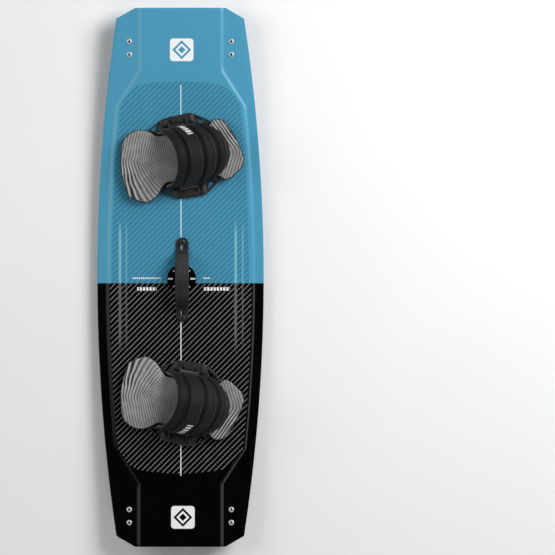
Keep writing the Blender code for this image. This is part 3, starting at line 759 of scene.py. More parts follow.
def screw_paint(name, colour, roughness, head_radius):
    """Metal with painted shade in the cross-shaped recess of a screw's head."""
    paint = metal(name, colour, roughness)
    near = abs(paint.x).least(abs(paint.y))
    far = abs(paint.x).most(abs(paint.y))
    cross = near.ramp(head_radius * 0.24, head_radius * 0.14)
    cross = cross * far.ramp(head_radius * 0.60, head_radius * 0.50)
    # Painted shade in the recess, on the head only.
    paint.lay((0.01, 0.01, 0.01), cross * paint.z.ramp(0.0, 0.0005))
    return paint


def timber(name):
    """Pale laminated timber with its grain along the board."""
    paint = Paint(name, (0.62, 0.45, 0.27), 0.62)
    grain = paint.noise(0.004, detail=4.0, stretch=(1, 30, 3))
    paint.lay((0.40, 0.26, 0.14), grain.ramp(0.45, 0.7) * 0.7)
    staves = (paint.x + 1).wrap(0.03).ramp(0.0006, 0.0)
    paint.lay((0.25, 0.15, 0.08), staves)
    paint.bump(grain, 0.0001)
    return paint


def webbing_paint():
    """Woven nylon: ribs across the strap, a stitched edge."""
    paint = Paint("woven_webbing", (0.006, 0.006, 0.0065), 0.75, mapped=True)
    ribs = paint.y.wave(0.0011) * (paint.x.wave(0.0022) * 0.5 + 0.5)
    paint.bump(ribs, 0.0003)
    paint.lay((0.018, 0.018, 0.019), ribs * 0.5)
    stitches = (abs(paint.x) - 0.0125).within(0.0005, 0.0005) * (paint.y + 1).wrap(
        0.004).ramp(0.0028, 0.0022)
    paint.lay((0.09, 0.09, 0.092), stitches * 0.7)
    paint.bump(stitches, 0.0004)
    # Painted shade in a groove across the strap near each end, dented in by a bump.
    groove_shade = (abs(paint.y) - 0.0665).within(0.0018, 0.0008)
    paint.lay((0.0015, 0.0015, 0.0015), groove_shade)
    paint.bump(groove_shade, -0.0004)
    paint.gloss(0.3)
    paint.sheen(0.1)
    return paint


def grip_paint():
    """Charcoal rubber grip with a fine diamond texture."""
    paint = Paint("grip_rubber", (0.008, 0.0083, 0.0092), 0.60, mapped=True)
    dimples = (paint.x + paint.y).wave(0.0018) * (paint.x - paint.y).wave(0.0018)
    paint.bump(dimples, 0.00025)
    paint.gloss(0.3)
    paint.lay((0.020, 0.021, 0.023), dimples * 0.45)
    paint.dress(0.1, paint.noise(0.01))
    # Painted light: the grip is lighter towards its nose end.
    paint.lay((0.052, 0.053, 0.056), paint.y.ramp(-0.020, 0.030) * 0.45)
    flange = (abs(paint.x) - 0.0128).within(0.0005, 0.0006)
    paint.lay((0.003, 0.003, 0.003), flange * 0.8)
    # Painted highlights: a line down the left edge, and one across near the nose end.
    paint.lay((0.07, 0.07, 0.072), (paint.x + 0.0140).within(0.0004, 0.0008) * 0.8)
    paint.lay((0.07, 0.07, 0.072), (paint.y - 0.0515).within(0.0004, 0.0008) * 0.6)
    paint.bump(flange, -0.0004)
    return paint


def pad_paint():
    """Grey foam with contour lines cut into it, over a black layer."""
    paint = Paint("contoured_foam", (0.27, 0.265, 0.26), 0.85, mapped=True)
    heel_side = paint.x.ramp(0.001, -0.001)
    wander = (paint.noise(0.035, detail=1.0) - 0.5) * 0.007
    bend = paint.y - 0.004
    below = (bend * -1).most(0.0)
    fan = below * ((paint.x + 0.15).most(0.0) * 5.6).least(0.45)
    heel = paint.x - (bend * bend + 0.00008).math("SQRT") * 0.21 - bend * 0.19 - fan + wander
    heel = heel + (heel + 0.16) * (heel + 0.16) * 2.2
    turn = paint.y + 0.010
    toe = paint.x + (turn * turn + 0.00006).math("SQRT") * 0.50 + wander * 0.6
    lines = (heel * heel_side + toe * (heel_side * -1 + 1)).wave(0.0078)
    heel_bold = paint.x.ramp(-0.105, -0.145) * paint.y.ramp(0.03, -0.02)
    toe_bold = paint.x.ramp(0.07, 0.09) * paint.y.ramp(-0.015, 0.02)
    bold = heel_bold.most(toe_bold)
    faint = paint.noise(0.025, detail=2.0).ramp(0.35, 0.65)
    # Painted highlights along the contour lines, stronger where they are bold.
    paint.lay((0.56, 0.55, 0.54), lines.ramp(0.25, 0.05) * (faint * 0.4 + bold * 0.5 + 0.1))
    cut = (lines + bold * 0.16).ramp(0.60, 0.74)
    paint.lay((0.010, 0.009, 0.009), cut * (faint * -0.30 + bold * 0.35 + 0.65))

    middle = (paint.x + 0.088).ramp(0.0, 0.02) * heel_side
    rising = (paint.y - paint.x * 0.55).wave(0.0072).ramp(0.72, 0.95)
    lower = (paint.y + paint.x * 0.25 + 0.024).ramp(0.012, -0.012)
    paint.lay((0.60, 0.59, 0.58), rising * middle * lower * 0.55)
    falling = (paint.y + paint.x * 0.9).wave(0.0080).ramp(0.78, 0.95)
    paint.lay((0.04, 0.04, 0.04), falling * middle * (lower * -1 + 1) * faint * 0.55)
    paint.lay((0.004, 0.004, 0.004), paint.z.ramp(PAD_LEDGE + 0.0020, PAD_LEDGE + 0.0012))
    paint.bump(cut, -0.0009)
    paint.bump(paint.noise(0.0008, detail=1.0), 0.00012)
    paint.sheen(0.2)
    return paint


def cover_paint():
    """Moulded black strap: leathery grain, painted highlights on the lips of its bands, painted
    shade in the grooves, a small plain mark.
    """
    paint = Paint("strap_shell", (0.0050, 0.0050, 0.0051), 0.60, mapped=True)
    share = paint.attribute("share")
    turn = paint.attribute("turn")
    rim = paint.attribute("rim")
    bands = share.ramp(0.24, 0.27)
    paint.lay((0.010, 0.010, 0.0102), rim.ramp(0.02, 0.05) * bands * (paint.noise(0.03) * 0.5 + 0.3))
    # Painted highlights along the lips of the bands.
    paint.lay((0.075, 0.075, 0.076), rim.ramp(0.001, 0.006) * rim.ramp(0.028, 0.010) * bands
              * (paint.noise(0.04) * 0.5 + 0.1))
    # Painted shade in the grooves.
    paint.lay((0.0006, 0.0006, 0.0006), rim.ramp(0.003, -0.002) * share.ramp(0.1, 0.15)
              * share.ramp(0.97, 0.95))
    paint.dress(0.14, paint.noise(0.012))
    paint.bump(paint.noise(0.0010, detail=3.0), 0.00018)
    bars = (turn * 8.0 + 0.1).wrap(1.0).ramp(0.30, 0.36) * (turn - 0.98).within(0.29, 0.01)
    mark = (share - 0.425).within(0.055, 0.006) * bars
    paint.lay((0.72, 0.72, 0.72), mark)
    paint.gloss(0.22)
    paint.sheen(0.05, 0.4)
    return paint


def lining_paint():
    """Soft knitted lining over padding."""
    paint = Paint("knitted_lining", (0.013, 0.013, 0.0135), 0.85, mapped=True)
    knit = (paint.x + paint.z).wave(0.0016) * (paint.y + paint.z).wave(0.0016)
    paint.bump(knit, 0.00025)
    paint.lay((0.035, 0.035, 0.036), knit * 0.5)
    paint.sheen(0.5)
    return paint


def plate_paint():
    """Glass-filled nylon: matt, speckled, lighter along its rim."""
    paint = moulded("plate_nylon", (0.0085, 0.0082, 0.008), 0.5, mapped=True)
    rim = paint.attribute("rim")
    paint.lay((0.05, 0.05, 0.05), rim.ramp(0.0016, 0.0004) * (paint.noise(0.01) * 0.6 + 0.2))
    return paint


def fin_paint():
    """Black glass laminate: faint fibres, bright scuffs near the tip."""
    paint = Paint("fin_laminate", (0.018, 0.018, 0.020), 0.36)
    fibres = paint.noise(0.0012, detail=3.0, stretch=(1, 6, 1))
    paint.lay((0.05, 0.05, 0.053), fibres.ramp(0.5, 0.75) * 0.6)
    paint.lay((0.11, 0.11, 0.11), paint.z.ramp(0.008, 0.0) * paint.noise(0.003).ramp(0.5, 0.7) * 0.6)
    paint.bump(fibres, 0.00005)
    paint.dress(0.15, paint.noise(0.01))
    return paint


def floor_paint():
    paint = Paint("pale_floor", (0.86, 0.86, 0.86), 0.75)
    paint.lay((0.90, 0.90, 0.90), paint.noise(0.4))
    return paint


# --- The board ------------------------------------------------------------------------


def skin_rows():
    steps = round(HALF_LENGTH / ROW_SPACING)
    half = [i * ROW_SPACING for i in range(steps)]
    half += [SHOULDER, *(HALF_LENGTH - step for step in EDGE_STEPS)]
    return sorted({sign * row for row in half for sign in (-1, 1)})


def skin_columns(y):
    """Distances from the centre line at which a row of a skin has its points."""
    edge = platform_edge(y)
    outer = rail(y)
    foot = edge + BEVEL_WIDTH
    columns = [edge * i / 14 for i in range(1, 15)]
    columns += [edge + BEVEL_WIDTH * i / 6 for i in range(1, 7)]
    columns += [between(foot, outer - LAMINATE, i / 4) for i in range(1, 4)]
    return columns + [outer - step for step in reversed(EDGE_STEPS)]


def skin_mesh(name, shown, hidden):
    """A printed skin: a sheet whose shown face is rounded over at its edge."""
    draft = bmesh.new()
    sheets = ([], [])
    for y in skin_rows():
        half = skin_columns(y)
        across = [-x for x in reversed(half)] + [0.0] + half
        for sheet, face in zip(sheets, (shown, hidden)):
            sheet.append([draft.verts.new((x, y, face(x, y))) for x in across])
    for sheet in sheets:
        for near, far in zip(sheet, sheet[1:]):
            for i in range(len(near) - 1):
                draft.faces.new((near[i], near[i + 1], far[i + 1], far[i]))
    top, bottom = sheets
    rims = [([row[end] for row in top], [row[end] for row in bottom]) for end in (0, -1)]
    rims += [(top[end], bottom[end]) for end in (0, -1)]
    for upper, lower in rims:
        for i in range(len(upper) - 1):
            draft.faces.new((upper[i], upper[i + 1], lower[i + 1], lower[i]))
    return finish_mesh(draft, name, angle=50)


def edge_drop(x, y):
    """How far the rounded edge of a skin has fallen at this point."""
    return quarter_round(min(rail(y) - abs(x), HALF_LENGTH - abs(y)), LAMINATE * 0.9)


def side_profile(outer, inner):
    """Section of a sidewall strip, its outer face slightly bulged."""
    low = base_height(*outer) + SKIN
    high = deck_height(*outer) - SKIN
    away = (Vector(outer) - Vector(inner)).normalized()
    ring = []
    for share in (1.0, 0.94, 0.75, 0.5, 0.25, 0.06, 0.0):
        swell = SIDEWALL_BULGE * (4 * share * (1 - share) - 1)
        point = Vector(outer) + away * swell
        ring.append((point.x, point.y, between(low, high, share)))
    ring.append((*inner, base_height(*inner) + SKIN))
    ring.append((*inner, deck_height(*inner) - SKIN))
    return ring


def side_strip(across):
    rows = [row for row in skin_rows() if abs(row) < SIDEWALL_SPLIT - GAP]
    rows = [-SIDEWALL_SPLIT, *rows, SIDEWALL_SPLIT]
    return loft([side_profile((across * rail(y), y), (across * rail(y, SIDEWALL), y))
                 for y in rows], "sidewall")


def tip_strip(along):
    start = SIDEWALL_SPLIT + GAP
    inner_tip = HALF_LENGTH - SIDEWALL
    half = [(rail(start), start, rail(start, SIDEWALL), start)]
    half.append((rail(SHOULDER), SHOULDER, rail(INNER_SHOULDER, SIDEWALL), INNER_SHOULDER))
    half.append((TIP_HALF_WIDTH, HALF_LENGTH, rail(inner_tip, SIDEWALL), inner_tip))
    half += [(x, HALF_LENGTH, x, inner_tip) for x in (0.104, 0.097, 0.06, 0.02)]
    stations = [(1, pair) for pair in half] + [(-1, pair) for pair in reversed(half)]
    return loft([side_profile((across * pair[0], along * pair[1]),
                              (across * pair[2], along * pair[3]))
                 for across, pair in stations], "tip_sidewall")


def build_board():
    deck = skin_mesh("deck_skin", lambda x, y: deck_height(x, y) - edge_drop(x, y),
                     lambda x, y: deck_height(x, y) - LAMINATE)
    show("deck_skin", deck, deck_paint(), "board", ["deck_laminate"])
    base = skin_mesh("base_skin", lambda x, y: base_height(x, y) + edge_drop(x, y),
                     lambda x, y: base_height(x, y) + LAMINATE)
    show("base_skin", base, base_paint(), "board", ["base_laminate"])
    edge = moulded("sidewall_plastic", (0.014, 0.014, 0.015), 0.45)
    for side, across in (("left", -1), ("right", 1)):
        show(f"rail_{side}", side_strip(across), edge, "board",
             [f"sidewall_{side}"])
    for end, along in (("nose", 1), ("tail", -1)):
        show(f"rail_{end}", tip_strip(along), edge, "board",
             [f"sidewall_{end}"])


def blade_mesh(x, y):
    """A fin: a foil that sweeps in towards its tip, with a fillet where it meets the base."""
    rings = []
    for level in range(FIN_LEVELS + 1):
        depth = (level / FIN_LEVELS) ** 1.3
        length = FIN_TIP_LENGTH + 0.065 * math.sqrt(1 - depth ** 1.6)
        length = length + 0.007 * math.exp(-depth / 0.04)
        thickness = FIN_TIP_THICKNESS + 0.0050 * (1 - depth) + 0.0043 * math.exp(-depth / 0.05)
        ring = []
        for i in range(FIN_POINTS):
            turn = 2 * math.pi * i / FIN_POINTS
            across = x + thickness / 2 * math.sin(turn)
            along = y + length / 2 * math.cos(turn)
            ring.append((across, along, (1 - depth) * (base_height(across, along) - GAP)))
        rings.append(ring)
    return loft(rings, "fin_blade", angle=60)


def screw_mesh(head_radius, head_height, shaft_radius, length):
    """A pan-head screw on its seat at z = 0, with a cross-shaped recess in its head."""
    rings = 22
    steps = 48
    recess_depth = head_height * 0.62
    recess_reach = head_radius * 0.52
    recess_width = head_radius * 0.15
    draft = bmesh.new()
    centre = draft.verts.new((0, 0, head_height - recess_depth))
    loops = []
    for i in range(1, rings + 1):
        radius = head_radius * i / rings
        crown = head_height * (1 - 0.28 * (i / rings) ** 2 - 0.5 * ease((i / rings - 0.8) / 0.2))
        loop = []
        for j in range(steps):
            turn = 2 * math.pi * j / steps
            x, y = radius * math.cos(turn), radius * math.sin(turn)
            reach = max(abs(x), abs(y))
            width = min(abs(x), abs(y))
            cut = ease((recess_reach - reach) / (recess_reach * 0.35))
            cut *= ease((recess_width * 1.6 - width) / (recess_width * 0.9))
            loop.append(draft.verts.new((x, y, crown - recess_depth * cut)))
        loops.append(loop)
    for radius, height in ((head_radius, 0.0), (shaft_radius, 0.0), (shaft_radius, -length)):
        loops.append([draft.verts.new((radius * math.cos(2 * math.pi * j / steps),
                                       radius * math.sin(2 * math.pi * j / steps), height))
                      for j in range(steps)])
    for j in range(steps):
        draft.faces.new((centre, loops[0][j], loops[0][(j + 1) % steps]))
    for near, far in zip(loops, loops[1:]):
        for j in range(steps):
            k = (j + 1) % steps
            draft.faces.new((near[j], far[j], far[k], near[k]))
    draft.faces.new(loops[-1])
    return finish_mesh(draft, "screw", angle=40)


def build_fins():
    laminate = fin_paint()
    bright = screw_paint("screw_steel", (0.86, 0.86, 0.85), 0.42, FIN_SCREW[0])
    screw = screw_mesh(*FIN_SCREW)
    for end, along in (("nose", 1), ("tail", -1)):
        middle = along * (FIN_SCREW_Y - FIN_SET_BACK) + FIN_SHIFT
        for side, across in (("left", -1), ("right", 1)):
            show(f"blade_{end}_{side}", blade_mesh(across * FIN_X, middle), laminate, "board",
                 [f"fin_{end}_{side}"])
            for place, step in (("inner", -1), ("outer", 1)):
                y = along * (FIN_SCREW_Y + step * FIN_SCREW_SPACING / 2) + FIN_SHIFT
                seat = deck_frame(across * FIN_SCREW_X, y, 0.35 * step + 0.2 * across)
                name = f"{end}_{side}_{place}"
                show(f"fin_bolt_{name}", screw.copy(), bright, "board",
                     [f"fin_screw_{name}"], seat @ Matrix.Translation((0, 0, GAP)))


# --- The grab handle ------------------------------------------------------------------

def handle_height(y):
    return HANDLE_LIFT + HANDLE_RISE * ease((RISE_START - abs(y)) / RISE_LENGTH)


def handle_slope(y):
    step = 0.001
    return (handle_height(y + step) - handle_height(y - step)) / (2 * step)


def slot_outline(inner, outer, half_width):
    loop = []
    for middle, start in ((outer, 0.0), (inner, math.pi)):
        for i in range(9):
            turn = start + math.pi * i / 8
            loop.append(Vector((half_width * math.cos(turn), middle + half_width * math.sin(turn))))
    return loop


def webbing_mesh():
    """The handle's strap, with round ends and a slot near each."""
    reach = HANDLE_HALF_LENGTH - HANDLE_HALF_WIDTH
    outline = slot_outline(-reach, reach, HANDLE_HALF_WIDTH)
    slots = [slot_outline(SLOT_INNER, SLOT_OUTER, SLOT_HALF_WIDTH),
             slot_outline(-SLOT_OUTER, -SLOT_INNER, SLOT_HALF_WIDTH)]
    edge = 0.0009

    def half_thickness(y, depth):
        upright = math.hypot(1, handle_slope(y))
        return upright * (HANDLE_THICKNESS / 2 - quarter_round(depth, edge))

    return plate([outline, *slots], 0.0022, (edge * 0.3, edge),
                 lambda x, y, depth: handle_height(y) + half_thickness(y, depth),
                 lambda x, y, depth: handle_height(y) - half_thickness(y, depth), "webbing", 50)


def grip_ring(y):
    """A section of the moulded grip: a rounded oblong, wider in a collar at each end."""
    end = GRIP_END - abs(y)
    collar = ease(end / 0.0012) * (1 - ease((end - 0.0065) / 0.001))
    groove = math.exp(-((end - 0.0088) / 0.0012) ** 2) + math.exp(-(end / 0.0009) ** 2)
    swell = 0.0006 * math.cos(math.pi * y / (2 * GRIP_END)) + 0.0004 * collar - 0.0011 * groove
    half_width = GRIP_HALF_WIDTH + swell
    half_height = GRIP_HALF_HEIGHT + swell
    tilt = math.atan(handle_slope(y))
    up = Vector((0, -math.sin(tilt), math.cos(tilt)))
    middle = Vector((0, y, handle_height(y)))
    ring = []
    for i in range(44):
        turn = 2 * math.pi * i / 44
        across = math.copysign(abs(math.cos(turn)) ** 0.6, math.cos(turn)) * half_width
        height = math.copysign(abs(math.sin(turn)) ** 0.6, math.sin(turn)) * half_height
        ring.append(middle + Vector((across, 0, 0)) + up * height)
    return ring


def build_handle():
    seat = deck_frame(HANDLE_X, HANDLE_Y)
    webbing = webbing_mesh()
    record_places(webbing)
    show("grab_webbing", webbing, webbing_paint(), "board", ["handle_strap"], seat)
    stations = [GRIP_END * (i / 70 - 1) for i in range(141)]
    grip = loft([grip_ring(y) for y in stations], "grip")
    record_places(grip)
    show("grab_grip", grip, grip_paint(), "board", ["handle_grip"], seat)
    dark = metal("dark_screw_steel", (0.06, 0.06, 0.06), 0.34)
    bright = metal("washer_steel", (0.50, 0.50, 0.49), 0.30)
    screw = screw_mesh(*HANDLE_SCREW)
    washer = washer_mesh(WASHER_RADIUS, WASHER_BORE, WASHER_THICKNESS)
    for end, along in (("nose", 1), ("tail", -1)):
        place = deck_frame(HANDLE_X, HANDLE_Y + along * SLOT_OUTER, 0.5 * along)
        rest = place @ Matrix.Translation((0, 0, HANDLE_SEAT))
        show(f"grab_washer_{end}", washer.copy(), bright, "board",
             [f"handle_{end}_washer"], rest)
        show(f"grab_bolt_{end}", screw.copy(), dark, "board",
             [f"handle_{end}_screw"], rest @ Matrix.Translation((0, 0, WASHER_THICKNESS + GAP)))


def washer_mesh(outer, inner, thickness):
    """A flat ring with rounded corners, its underside at z = 0."""
    soft = thickness * 0.25
    profile = ((inner, soft), (inner + soft, 0), (outer - soft, 0), (outer, soft),
               (outer, thickness - soft), (outer - soft, thickness),
               (inner + soft, thickness), (inner, thickness - soft))
    return spun(profile, "washer")


# --- The bindings ---------------------------------------------------------------------

def window_outlines():
    """The four windows of a baseplate, one in each quarter."""
    return [[(across * x, along * y) for x, y in PLATE_WINDOW]
            for across in (-1, 1) for along in (-1, 1)]


def baseplate_mesh():
    """The plate under a binding, with its windows and a raised seat at each anchor."""
    outline = softened(PLATE_OUTLINE, 0.010)
    windows = [softened(window, 0.0025) for window in window_outlines()]
    rim = 0.0030

    def top(x, y, depth):
        seat = ease((ANCHOR_HALF_WIDTH - abs(x)) / 0.004) * ease((abs(y) - ANCHOR_START) / 0.004)
        seat *= ease((depth - 0.0015) / 0.003)
        clamp_room = ease((CLAMP_HALF_WIDTH + 0.0020 - abs(x)) / 0.0012)
        clamp_room *= ease((CLAMP_OUTER_Y + 0.0020 - abs(y)) / 0.0012)
        lip = ease((rim - depth) / 0.0008) * 0.0008
        return (PLATE_TOP - 0.0008 - quarter_round(depth, 0.0010) + lip
                + (ANCHOR_RISE + 0.0008) * seat * (1 - clamp_room))

    return plate([outline, *windows], 0.0034, (0.0004, 0.0011, 0.0026, 0.0036), top,
                 lambda x, y, depth: PLATE_LIFT, "baseplate", 50)


def footpad_mesh():
    """The foam pad: crowned towards its middle, soft at its edge, dished for the heel."""
    outline = softened(PAD_OUTLINE, 0.008)
    low = PLATE_TOP + GAP

    def top(x, y, depth):
        dish = 0.0016 * math.exp(-((x + 0.095) ** 2 + (y + 0.005) ** 2) / 0.035 ** 2)
        crown = 0.0012 * ease(depth / 0.020)
        rise = PAD_THICKNESS - 0.0006 - (PAD_LEDGE - low)
        wall = ease((depth - PAD_LEDGE_WIDTH) / 0.0008)
        soft = quarter_round(max(depth - PAD_LEDGE_WIDTH, 0.0), PAD_ROUNDING)
        return PAD_LEDGE + wall * (rise - soft) + crown - dish

    return plate([outline], 0.0040, (0.0006, 0.0014, 0.0020, 0.0026, 0.0038, 0.0052), top,
                 lambda x, y, depth: low, "footpad", 60)


def strap_point(turn, share, depth):
    side_x = between(ANKLE_SIDE_X, TOE_SIDE_X, share)
    crest_x = between(ANKLE_CREST_X, TOE_CREST_X, share)
    rise = between(ANKLE_HEIGHT, TOE_HEIGHT, share) - STRAP_LEG - depth
    crest = math.cos(turn)
    return Vector((between(side_x, crest_x, crest),
                   (STRAP_HALF_SPAN - depth) * math.sin(turn),
                   PLATE_TOP + STRAP_LEG + rise * crest))


def band_place(share, turn):
    """Height of the strap's band at this place, and the distance in from its rim."""
    crest = math.cos(turn)
    grooves = [between(foot, top, crest) for foot, top in GROOVES]
    edges = [0.0, *grooves, 1.0]
    band = sum(share > groove for groove in grooves)
    rim = min(share - edges[band], edges[band + 1] - share) - GROOVE_HALF_WIDTH
    return BAND_HEIGHTS[band], rim


def band_relief(share, turn):
    """How far the strap's cover stands proud: four bands with deep grooves between them."""
    height, rim = band_place(share, turn)
    fade = between(0.1, 1.0, ease((math.cos(turn) - 0.05) / 0.40))
    body = height - quarter_round(rim * height / BAND_ROUNDING, height)
    lip = 0.0007 * math.exp(-((rim - 0.030) / 0.012) ** 2) * (height > BAND_HEIGHTS[0])
    return fade * (body + lip)


def strap_section(turn, outer, thickness, relief):
    """Shares and depths round a section of the strap, with rolled edges."""
    roll = 0.022
    section = []
    for i in range(STRAP_COLUMNS + 1):
        share = i / STRAP_COLUMNS
        rounding = quarter_round(min(share, 1 - share), roll) / roll * thickness / 2
        section.append((share, outer - relief(share, turn) + rounding))
    for i in range(STRAP_COLUMNS // 4 + 1):
        share = 1 - i / (STRAP_COLUMNS // 4)
        rounding = quarter_round(min(share, 1 - share), roll) / roll * thickness / 2
        section.append((share, outer + thickness - rounding))
    return section


def set_values(mesh, name, values):
    layer = mesh.attributes.new(name, "FLOAT", "POINT")
    layer.data.foreach_set("value", numpy.array(values, numpy.float32))


def cover_mesh():
    rings = []
    facts = []
    for i in range(STRAP_ROWS + 1):
        turn = math.pi * (i / STRAP_ROWS - 0.5)
        section = strap_section(turn, 0.0, COVER_THICKNESS, band_relief)
        rings.append([strap_point(turn, share, depth) for share, depth in section])
        facts += [(share, turn, band_place(share, turn)[1]) for share, depth in section]
    mesh = loft(rings, "strap_cover", angle=70)
    for name, values in zip(("share", "turn", "rim"), zip(*facts)):
        set_values(mesh, name, values)
    return mesh


def lining_mesh():
    """The padded lining, its straight legs, and the barrel that turns on the anchor's bar."""
    outer = COVER_THICKNESS + COVER_GAP
    foot = PLATE_TOP + LEG_CLEARANCE
    turns = [math.pi * (i / 48 - 0.5) for i in range(49)]

    def quilt(share, turn):
        return -0.0004 * math.sin(math.pi * share * 6) ** 8

    rings = [[strap_point(turn, share, depth) for share, depth
              in strap_section(turn, outer, LINER_THICKNESS, quilt)] for turn in turns]
    for end in (0, -1):
        leg = []
        for share in (0.5, 1.0):
            leg.append([point.lerp(Vector((point.x, point.y, foot)), share)
                        for point in rings[end]])
        rings = [leg[1], leg[0], *rings] if end == 0 else [*rings, *leg]
    draft = bmesh.new()
    draft.from_mesh(loft(rings, "lining"))
    soft = 0.0008
    inner = BAR_RADIUS + GAP
    end = BARREL_HALF_LENGTH
    profile = ((inner, soft - end), (inner + soft, -end), (BARREL_RADIUS - soft, -end),
               (BARREL_RADIUS, soft - end), (BARREL_RADIUS, end - soft),
               (BARREL_RADIUS - soft, end), (inner + soft, end), (inner, end - soft))
    barrel = spun(profile, "barrel")
    barrel.transform(Matrix.Translation((0, -HINGE_Y, HINGE_Z)) @ Matrix.Rotation(
        math.pi / 2, 4, "Y"))
    draft.from_mesh(barrel)
    return finish_mesh(draft, "strap_lining", angle=60)


def capped_bar(profile, start, end, soft):
    """A solid along X through a profile of y and z, drawn in a little at its ends."""
    middle = sum((Vector(point) for point in profile), Vector((0, 0))) / len(profile)
    rings = []
    for x, shrink in ((start, soft), (start + soft, 0), (end - soft, 0), (end, soft)):
        ring = []
        for point in profile:
            inward = middle - Vector(point)
            point = Vector(point) + inward.normalized() * min(shrink, inward.length * 0.5)
            ring.append((x, point.x, point.y))
        rings.append(ring)
    return loft(rings, "bar")


def hinge_arc(radius, count):
    """Points of y and z round the strap's hinge, 24 of them to a full turn."""
    return [Vector((HINGE_Y + radius * math.cos(math.pi * i / 12),
                    HINGE_Z + radius * math.sin(math.pi * i / 12))) for i in range(count)]


def anchor_mesh():
    """An anchor clamp on the +Y side: a foot, two lugs and the bar between them."""
    low = PLATE_TOP + GAP
    foot = low + CLAMP_THICKNESS
    draft = bmesh.new()
    inner_y = HINGE_Y + BARREL_RADIUS + 0.0025
    corners = [(-CLAMP_HALF_WIDTH, inner_y), (CLAMP_HALF_WIDTH, inner_y),
               (CLAMP_HALF_WIDTH, CLAMP_OUTER_Y), (-CLAMP_HALF_WIDTH, CLAMP_OUTER_Y)]
    base = plate([softened(corners, 0.005)], 0.0022, (0.0003, 0.0010, 0.0020),
                 lambda x, y, depth: foot - quarter_round(depth, 0.0009),
                 lambda x, y, depth: low, "anchor_foot", 60)
    draft.from_mesh(base)
    lug = [Vector((HINGE_Y - LUG_RADIUS, low)), Vector((inner_y + 0.006, low)),
           Vector((inner_y + 0.006, foot - 0.0004)),
           Vector((HINGE_Y + LUG_RADIUS + 0.001, foot + 0.001)), *hinge_arc(LUG_RADIUS, 13)]
    lug_inner = BARREL_HALF_LENGTH + 0.0005
    bar = hinge_arc(BAR_RADIUS, 24)
    draft.from_mesh(capped_bar(lug, -CLAMP_HALF_WIDTH, -lug_inner, 0.0005))
    draft.from_mesh(capped_bar(lug, lug_inner, CLAMP_HALF_WIDTH, 0.0005))
    draft.from_mesh(capped_bar(bar, -lug_inner - 0.001, lug_inner + 0.001, 0.0002))
    return finish_mesh(draft, "anchor", angle=50)


def flipped(mesh, matrix):
    """A copy of the mesh moved by a matrix that may mirror it."""
    copy = mesh.copy()
    copy.transform(matrix)
    if matrix.determinant() < 0:
        copy.flip_normals()
    return copy


def binding_frame(name, along):
    """The binding's own frame, from its swivel and its strap's hinge."""
    joints = {joint["name"]: joint for joint in frame["joints"]}
    swivel = joints[f"{name}_binding_swivel"]
    up = Vector(swivel["axis"])
    toes = Vector(joints[f"{name}_strap_open"]["axis"]) * along
    turned = Matrix((toes, up.cross(toes), up)).transposed().to_4x4()
    return Matrix.Translation(swivel["pos_m"]) @ turned


def rim_depths(mesh, loops):
    places = numpy.array([tuple(vertex.co.xy) for vertex in mesh.vertices])
    return edge_distance(places, loops)


def build_bindings():
    plate_mesh = baseplate_mesh()
    set_values(plate_mesh, "rim", rim_depths(plate_mesh, [PLATE_OUTLINE, *window_outlines()]))
    anchor = anchor_mesh()
    nylon = plate_paint()
    clamp_nylon = moulded("clamp_nylon", (0.0095, 0.0092, 0.009), 0.45)
    pieces = (
        ("baseplate", "plate", plate_mesh, nylon, "binding", "plate_black"),
        ("footpad", "pad", footpad_mesh(), pad_paint(), "binding", "pad_grey"),
        ("strap_cover", "cover", cover_mesh(), cover_paint(), "strap", "strap_black"),
        ("strap_liner", "lining", lining_mesh(), lining_paint(), "strap", "liner_black"),
    )
    dark = metal("anchor_screw_steel", (0.035, 0.035, 0.036), 0.34)
    screw = screw_mesh(*ANCHOR_SCREW)
    for entry in pieces:
        record_places(entry[2])
    for name, along in (("front", 1), ("rear", -1)):
        place = binding_frame(name, along)
        mirror = Matrix.Diagonal((1, along, 1, 1))
        for node, label, mesh, paint, body, slot in pieces:
            piece = show(f"{name}_{label}", flipped(mesh, mirror), paint, f"{name}_{body}",
                         [f"{name}_{node}"], place)
            label in ("pad", "lining")
        for side, outward in (("outer", along), ("inner", -along)):
            turn = Matrix.Diagonal((1, outward, 1, 1))
            clamp_name = f"{name}_clamp_{side}"
            show(f"{name}_anchor_{side}", flipped(anchor, turn), clamp_nylon,
                 f"{name}_binding", [clamp_name], place)
            for spot, across in (("heel", -1), ("toe", 1)):
                rest = Matrix.Translation((across * ANCHOR_SCREW_X, outward * ANCHOR_SCREW_Y,
                                           PLATE_TOP + CLAMP_THICKNESS + 2 * GAP))
                show(f"{name}_anchor_bolt_{side}_{spot}", screw.copy(), dark,
                     f"{name}_binding", [f"{clamp_name}_screw_{spot}"],
                     place @ rest @ Matrix.Rotation(0.6 * across, 4, "Z"))


# --- What keeps its modelled shape ----------------------------------------------------

def dress_kept_nodes():
    """Materials for the pieces inside the board and under the footpads."""
    brass = metal("insert_brass_turned", (0.70, 0.52, 0.25), 0.34)
    steel = metal("hidden_steel", (0.58, 0.58, 0.57), 0.30)
    black = metal("hidden_black_steel", (0.06, 0.06, 0.06), 0.36)
    wood = timber("core_timber")
    for name, node in frame["nodes"].items():
        if node.hide_render:
            continue
        if name == "core":
            paint = wood
        elif name.endswith("_insert"):
            paint = brass
        elif name.endswith("_washer"):
            paint = steel
        else:
            paint = black
        for slot in node.material_slots:
            slot.material = paint.material


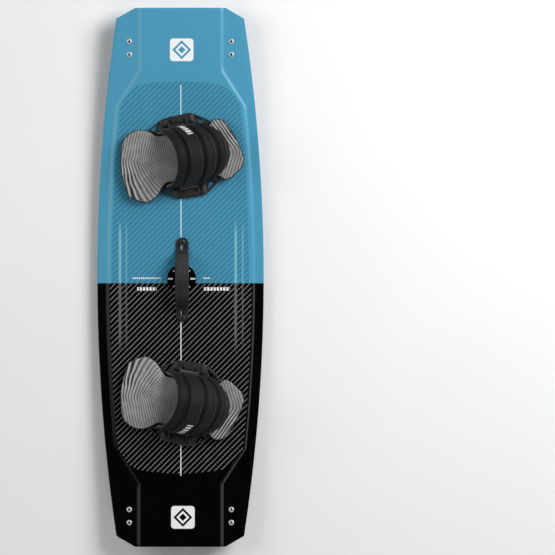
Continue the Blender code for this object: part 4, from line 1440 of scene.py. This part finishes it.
# --- Floor, light and camera ----------------------------------------------------------

def add_light(name, place, target, size, power):
    lamp = bpy.data.lights.new(name, "AREA")
    lamp.size = size
    lamp.energy = power
    light = bpy.data.objects.new(name, lamp)
    bpy.context.scene.collection.objects.link(light)
    light.location = place
    aim = Vector(target) - Vector(place)
    light.rotation_euler = aim.to_track_quat("-Z", "Y").to_euler()


def build_stage():
    draft = bmesh.new()
    bmesh.ops.create_grid(draft, x_segments=24, y_segments=24, size=6)
    floor_mesh = bpy.data.meshes.new("floor")
    draft.to_mesh(floor_mesh)
    draft.free()
    floor = bpy.data.objects.new("floor", floor_mesh)
    bpy.context.scene.collection.objects.link(floor)
    floor_mesh.materials.append(floor_paint().material)

    world = bpy.data.worlds.new("studio")
    world.use_nodes = True
    direction = world.node_tree.nodes.new("ShaderNodeTexCoord").outputs["Generated"]
    split = world.node_tree.nodes.new("ShaderNodeSeparateXYZ")
    world.node_tree.links.new(direction, split.inputs["Vector"])
    overhead = Field(world.node_tree, split.outputs["Z"]).ramp(0.0, 0.4)
    backdrop = world.node_tree.nodes["Background"]
    backdrop.inputs["Color"].default_value = (1, 1, 1, 1)
    feed(world.node_tree, backdrop.inputs["Strength"], overhead * (ZENITH - HORIZON) + HORIZON)
    bpy.context.scene.world = world
    add_light("key", (2.3, 1.5, 2.3), (0.1, 0.0, 0.0), 2.0, 128)
    add_light("fill", (-2.6, 0.8, 2.4), (0.0, 0.0, 0.0), 2.4, 50)
    add_light("end", (0.2, -3.2, 2.2), (0.0, 0.0, 0.0), 2.4, 34)

    lens = bpy.data.cameras.new("camera")
    lens.lens = FOCAL_LENGTH
    lens.sensor_width = SENSOR_WIDTH
    lens.clip_end = 50
    camera = bpy.data.objects.new("camera", lens)
    bpy.context.scene.collection.objects.link(camera)
    camera.location = CAMERA_PLACE
    bpy.context.scene.camera = camera
    bpy.context.scene.view_settings.view_transform = "Standard"


build_board()
build_fins()
build_handle()
build_bindings()
dress_kept_nodes()
build_stage()
